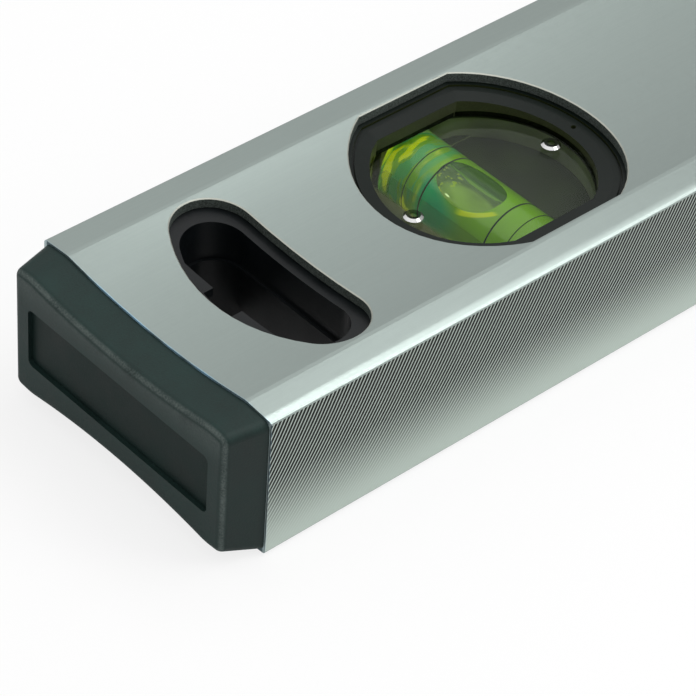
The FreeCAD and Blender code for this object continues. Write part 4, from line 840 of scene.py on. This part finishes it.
def light_world(scene):
    """A white studio: white to the camera, a little brighter overhead where it lights the level."""
    world = bpy.data.worlds.new("studio")
    scene.world = world
    world.use_nodes = True
    tree = world.node_tree
    tree.nodes.clear()
    ray = add(tree, "ShaderNodeTexCoord", out="Generated")
    height = add(tree, "ShaderNodeSeparateXYZ", {0: ray}, out=2)
    ahead = add(tree, "ShaderNodeSeparateXYZ", {0: ray}, out=0)
    overhead = add(tree, "ShaderNodeMapRange", {0: height, 1: 0.0, 2: 1.0, 3: 0.60, 4: 1.22})
    sideways = add(tree, "ShaderNodeMapRange", {0: ahead, 1: 0.2, 2: 0.9, 3: 1.10, 4: 0.66})
    overhead = add(tree, "ShaderNodeMath", {0: overhead, 1: sideways}, operation="MULTIPLY")
    camera = add(tree, "ShaderNodeLightPath", out="Is Camera Ray")
    glossy = add(tree, "ShaderNodeLightPath", out="Is Glossy Ray")
    through = add(tree, "ShaderNodeLightPath", out="Is Transmission Ray")
    mirrored = add(tree, "ShaderNodeMath", {0: glossy, 1: through}, operation="MAXIMUM")
    lit = add(tree, "ShaderNodeMath", {0: overhead, 1: 0.6}, operation="MULTIPLY")
    shown = add(tree, "ShaderNodeMix", {0: mirrored, 2: lit, 3: overhead}, data_type="FLOAT")
    strength = add(tree, "ShaderNodeMix", {0: camera, 2: shown, 3: 1.0}, data_type="FLOAT")
    light = add(tree, "ShaderNodeBackground", {"Color": (1, 1, 1, 1), "Strength": strength})
    add(tree, "ShaderNodeOutputWorld", {"Surface": light}, out=None)


def soft_lamp(name, place, target, side, power):
    """A square soft light aimed at a point."""
    data = bpy.data.lights.new(name, "AREA")
    data.shape = "SQUARE"
    data.size = side
    data.energy = power
    lamp = bpy.data.objects.new(name, data)
    bpy.context.scene.collection.objects.link(lamp)
    lamp.location = place
    lamp.rotation_euler = (Vector(target) - Vector(place)).to_track_quat("-Z", "Y").to_euler()


def set_camera(scene):
    """The photograph's viewpoint, worked out from the level's straight edges."""
    data = bpy.data.cameras.new("camera")
    data.sensor_width = 36.0
    data.lens = 170.49
    data.clip_start = 0.01
    camera = bpy.data.objects.new("camera", data)
    scene.collection.objects.link(camera)
    right = Vector((0.7458, -0.6639, 0.0550))
    up = Vector((0.4046, 0.5171, 0.7543))
    back = Vector((-0.5292, -0.5403, 0.6542))
    turn = Matrix((right, up, back)).transposed()
    camera.matrix_world = Matrix.Translation((-0.4599, -0.3200, 0.3890)) @ turn.to_4x4()
    scene.camera = camera


OPERATORS = (
    LEVEL_OT_beam, LEVEL_OT_caps, LEVEL_OT_liners, LEVEL_OT_housings, LEVEL_OT_covers,
    LEVEL_OT_vials, LEVEL_OT_magnets, LEVEL_OT_stage,
)


class LEVEL_PT_panel(bpy.types.Panel):
    """The level's settings and steps"""

    bl_idname = "LEVEL_PT_panel"
    bl_label = "Spirit level"
    bl_space_type = "VIEW_3D"
    bl_region_type = "UI"
    bl_category = "Level"

    def draw(self, context):
        layout = self.layout
        for group in (context.scene.level_colours, context.scene.level_patterns):
            box = layout.box()
            for name in group.__annotations__:
                box.prop(group, name)
        for operator in OPERATORS:
            layout.operator(operator.bl_idname)


CLASSES = (LevelColours, LevelPatterns) + OPERATORS + (LEVEL_PT_panel,)


def register():
    for cls in CLASSES:
        bpy.utils.register_class(cls)
    bpy.types.Scene.level_colours = bpy.props.PointerProperty(type=LevelColours)
    bpy.types.Scene.level_patterns = bpy.props.PointerProperty(type=LevelPatterns)


def unregister():
    del bpy.types.Scene.level_patterns
    del bpy.types.Scene.level_colours
    for cls in reversed(CLASSES):
        bpy.utils.unregister_class(cls)


def main():
    register()
    bpy.ops.level.beam()
    bpy.ops.level.caps()
    bpy.ops.level.liners()
    bpy.ops.level.housings()
    bpy.ops.level.covers()
    bpy.ops.level.vials()
    bpy.ops.level.magnets()
    bpy.ops.level.stage()
    bpy.context.view_layer.update()


if __name__ == "__main__":
    main()
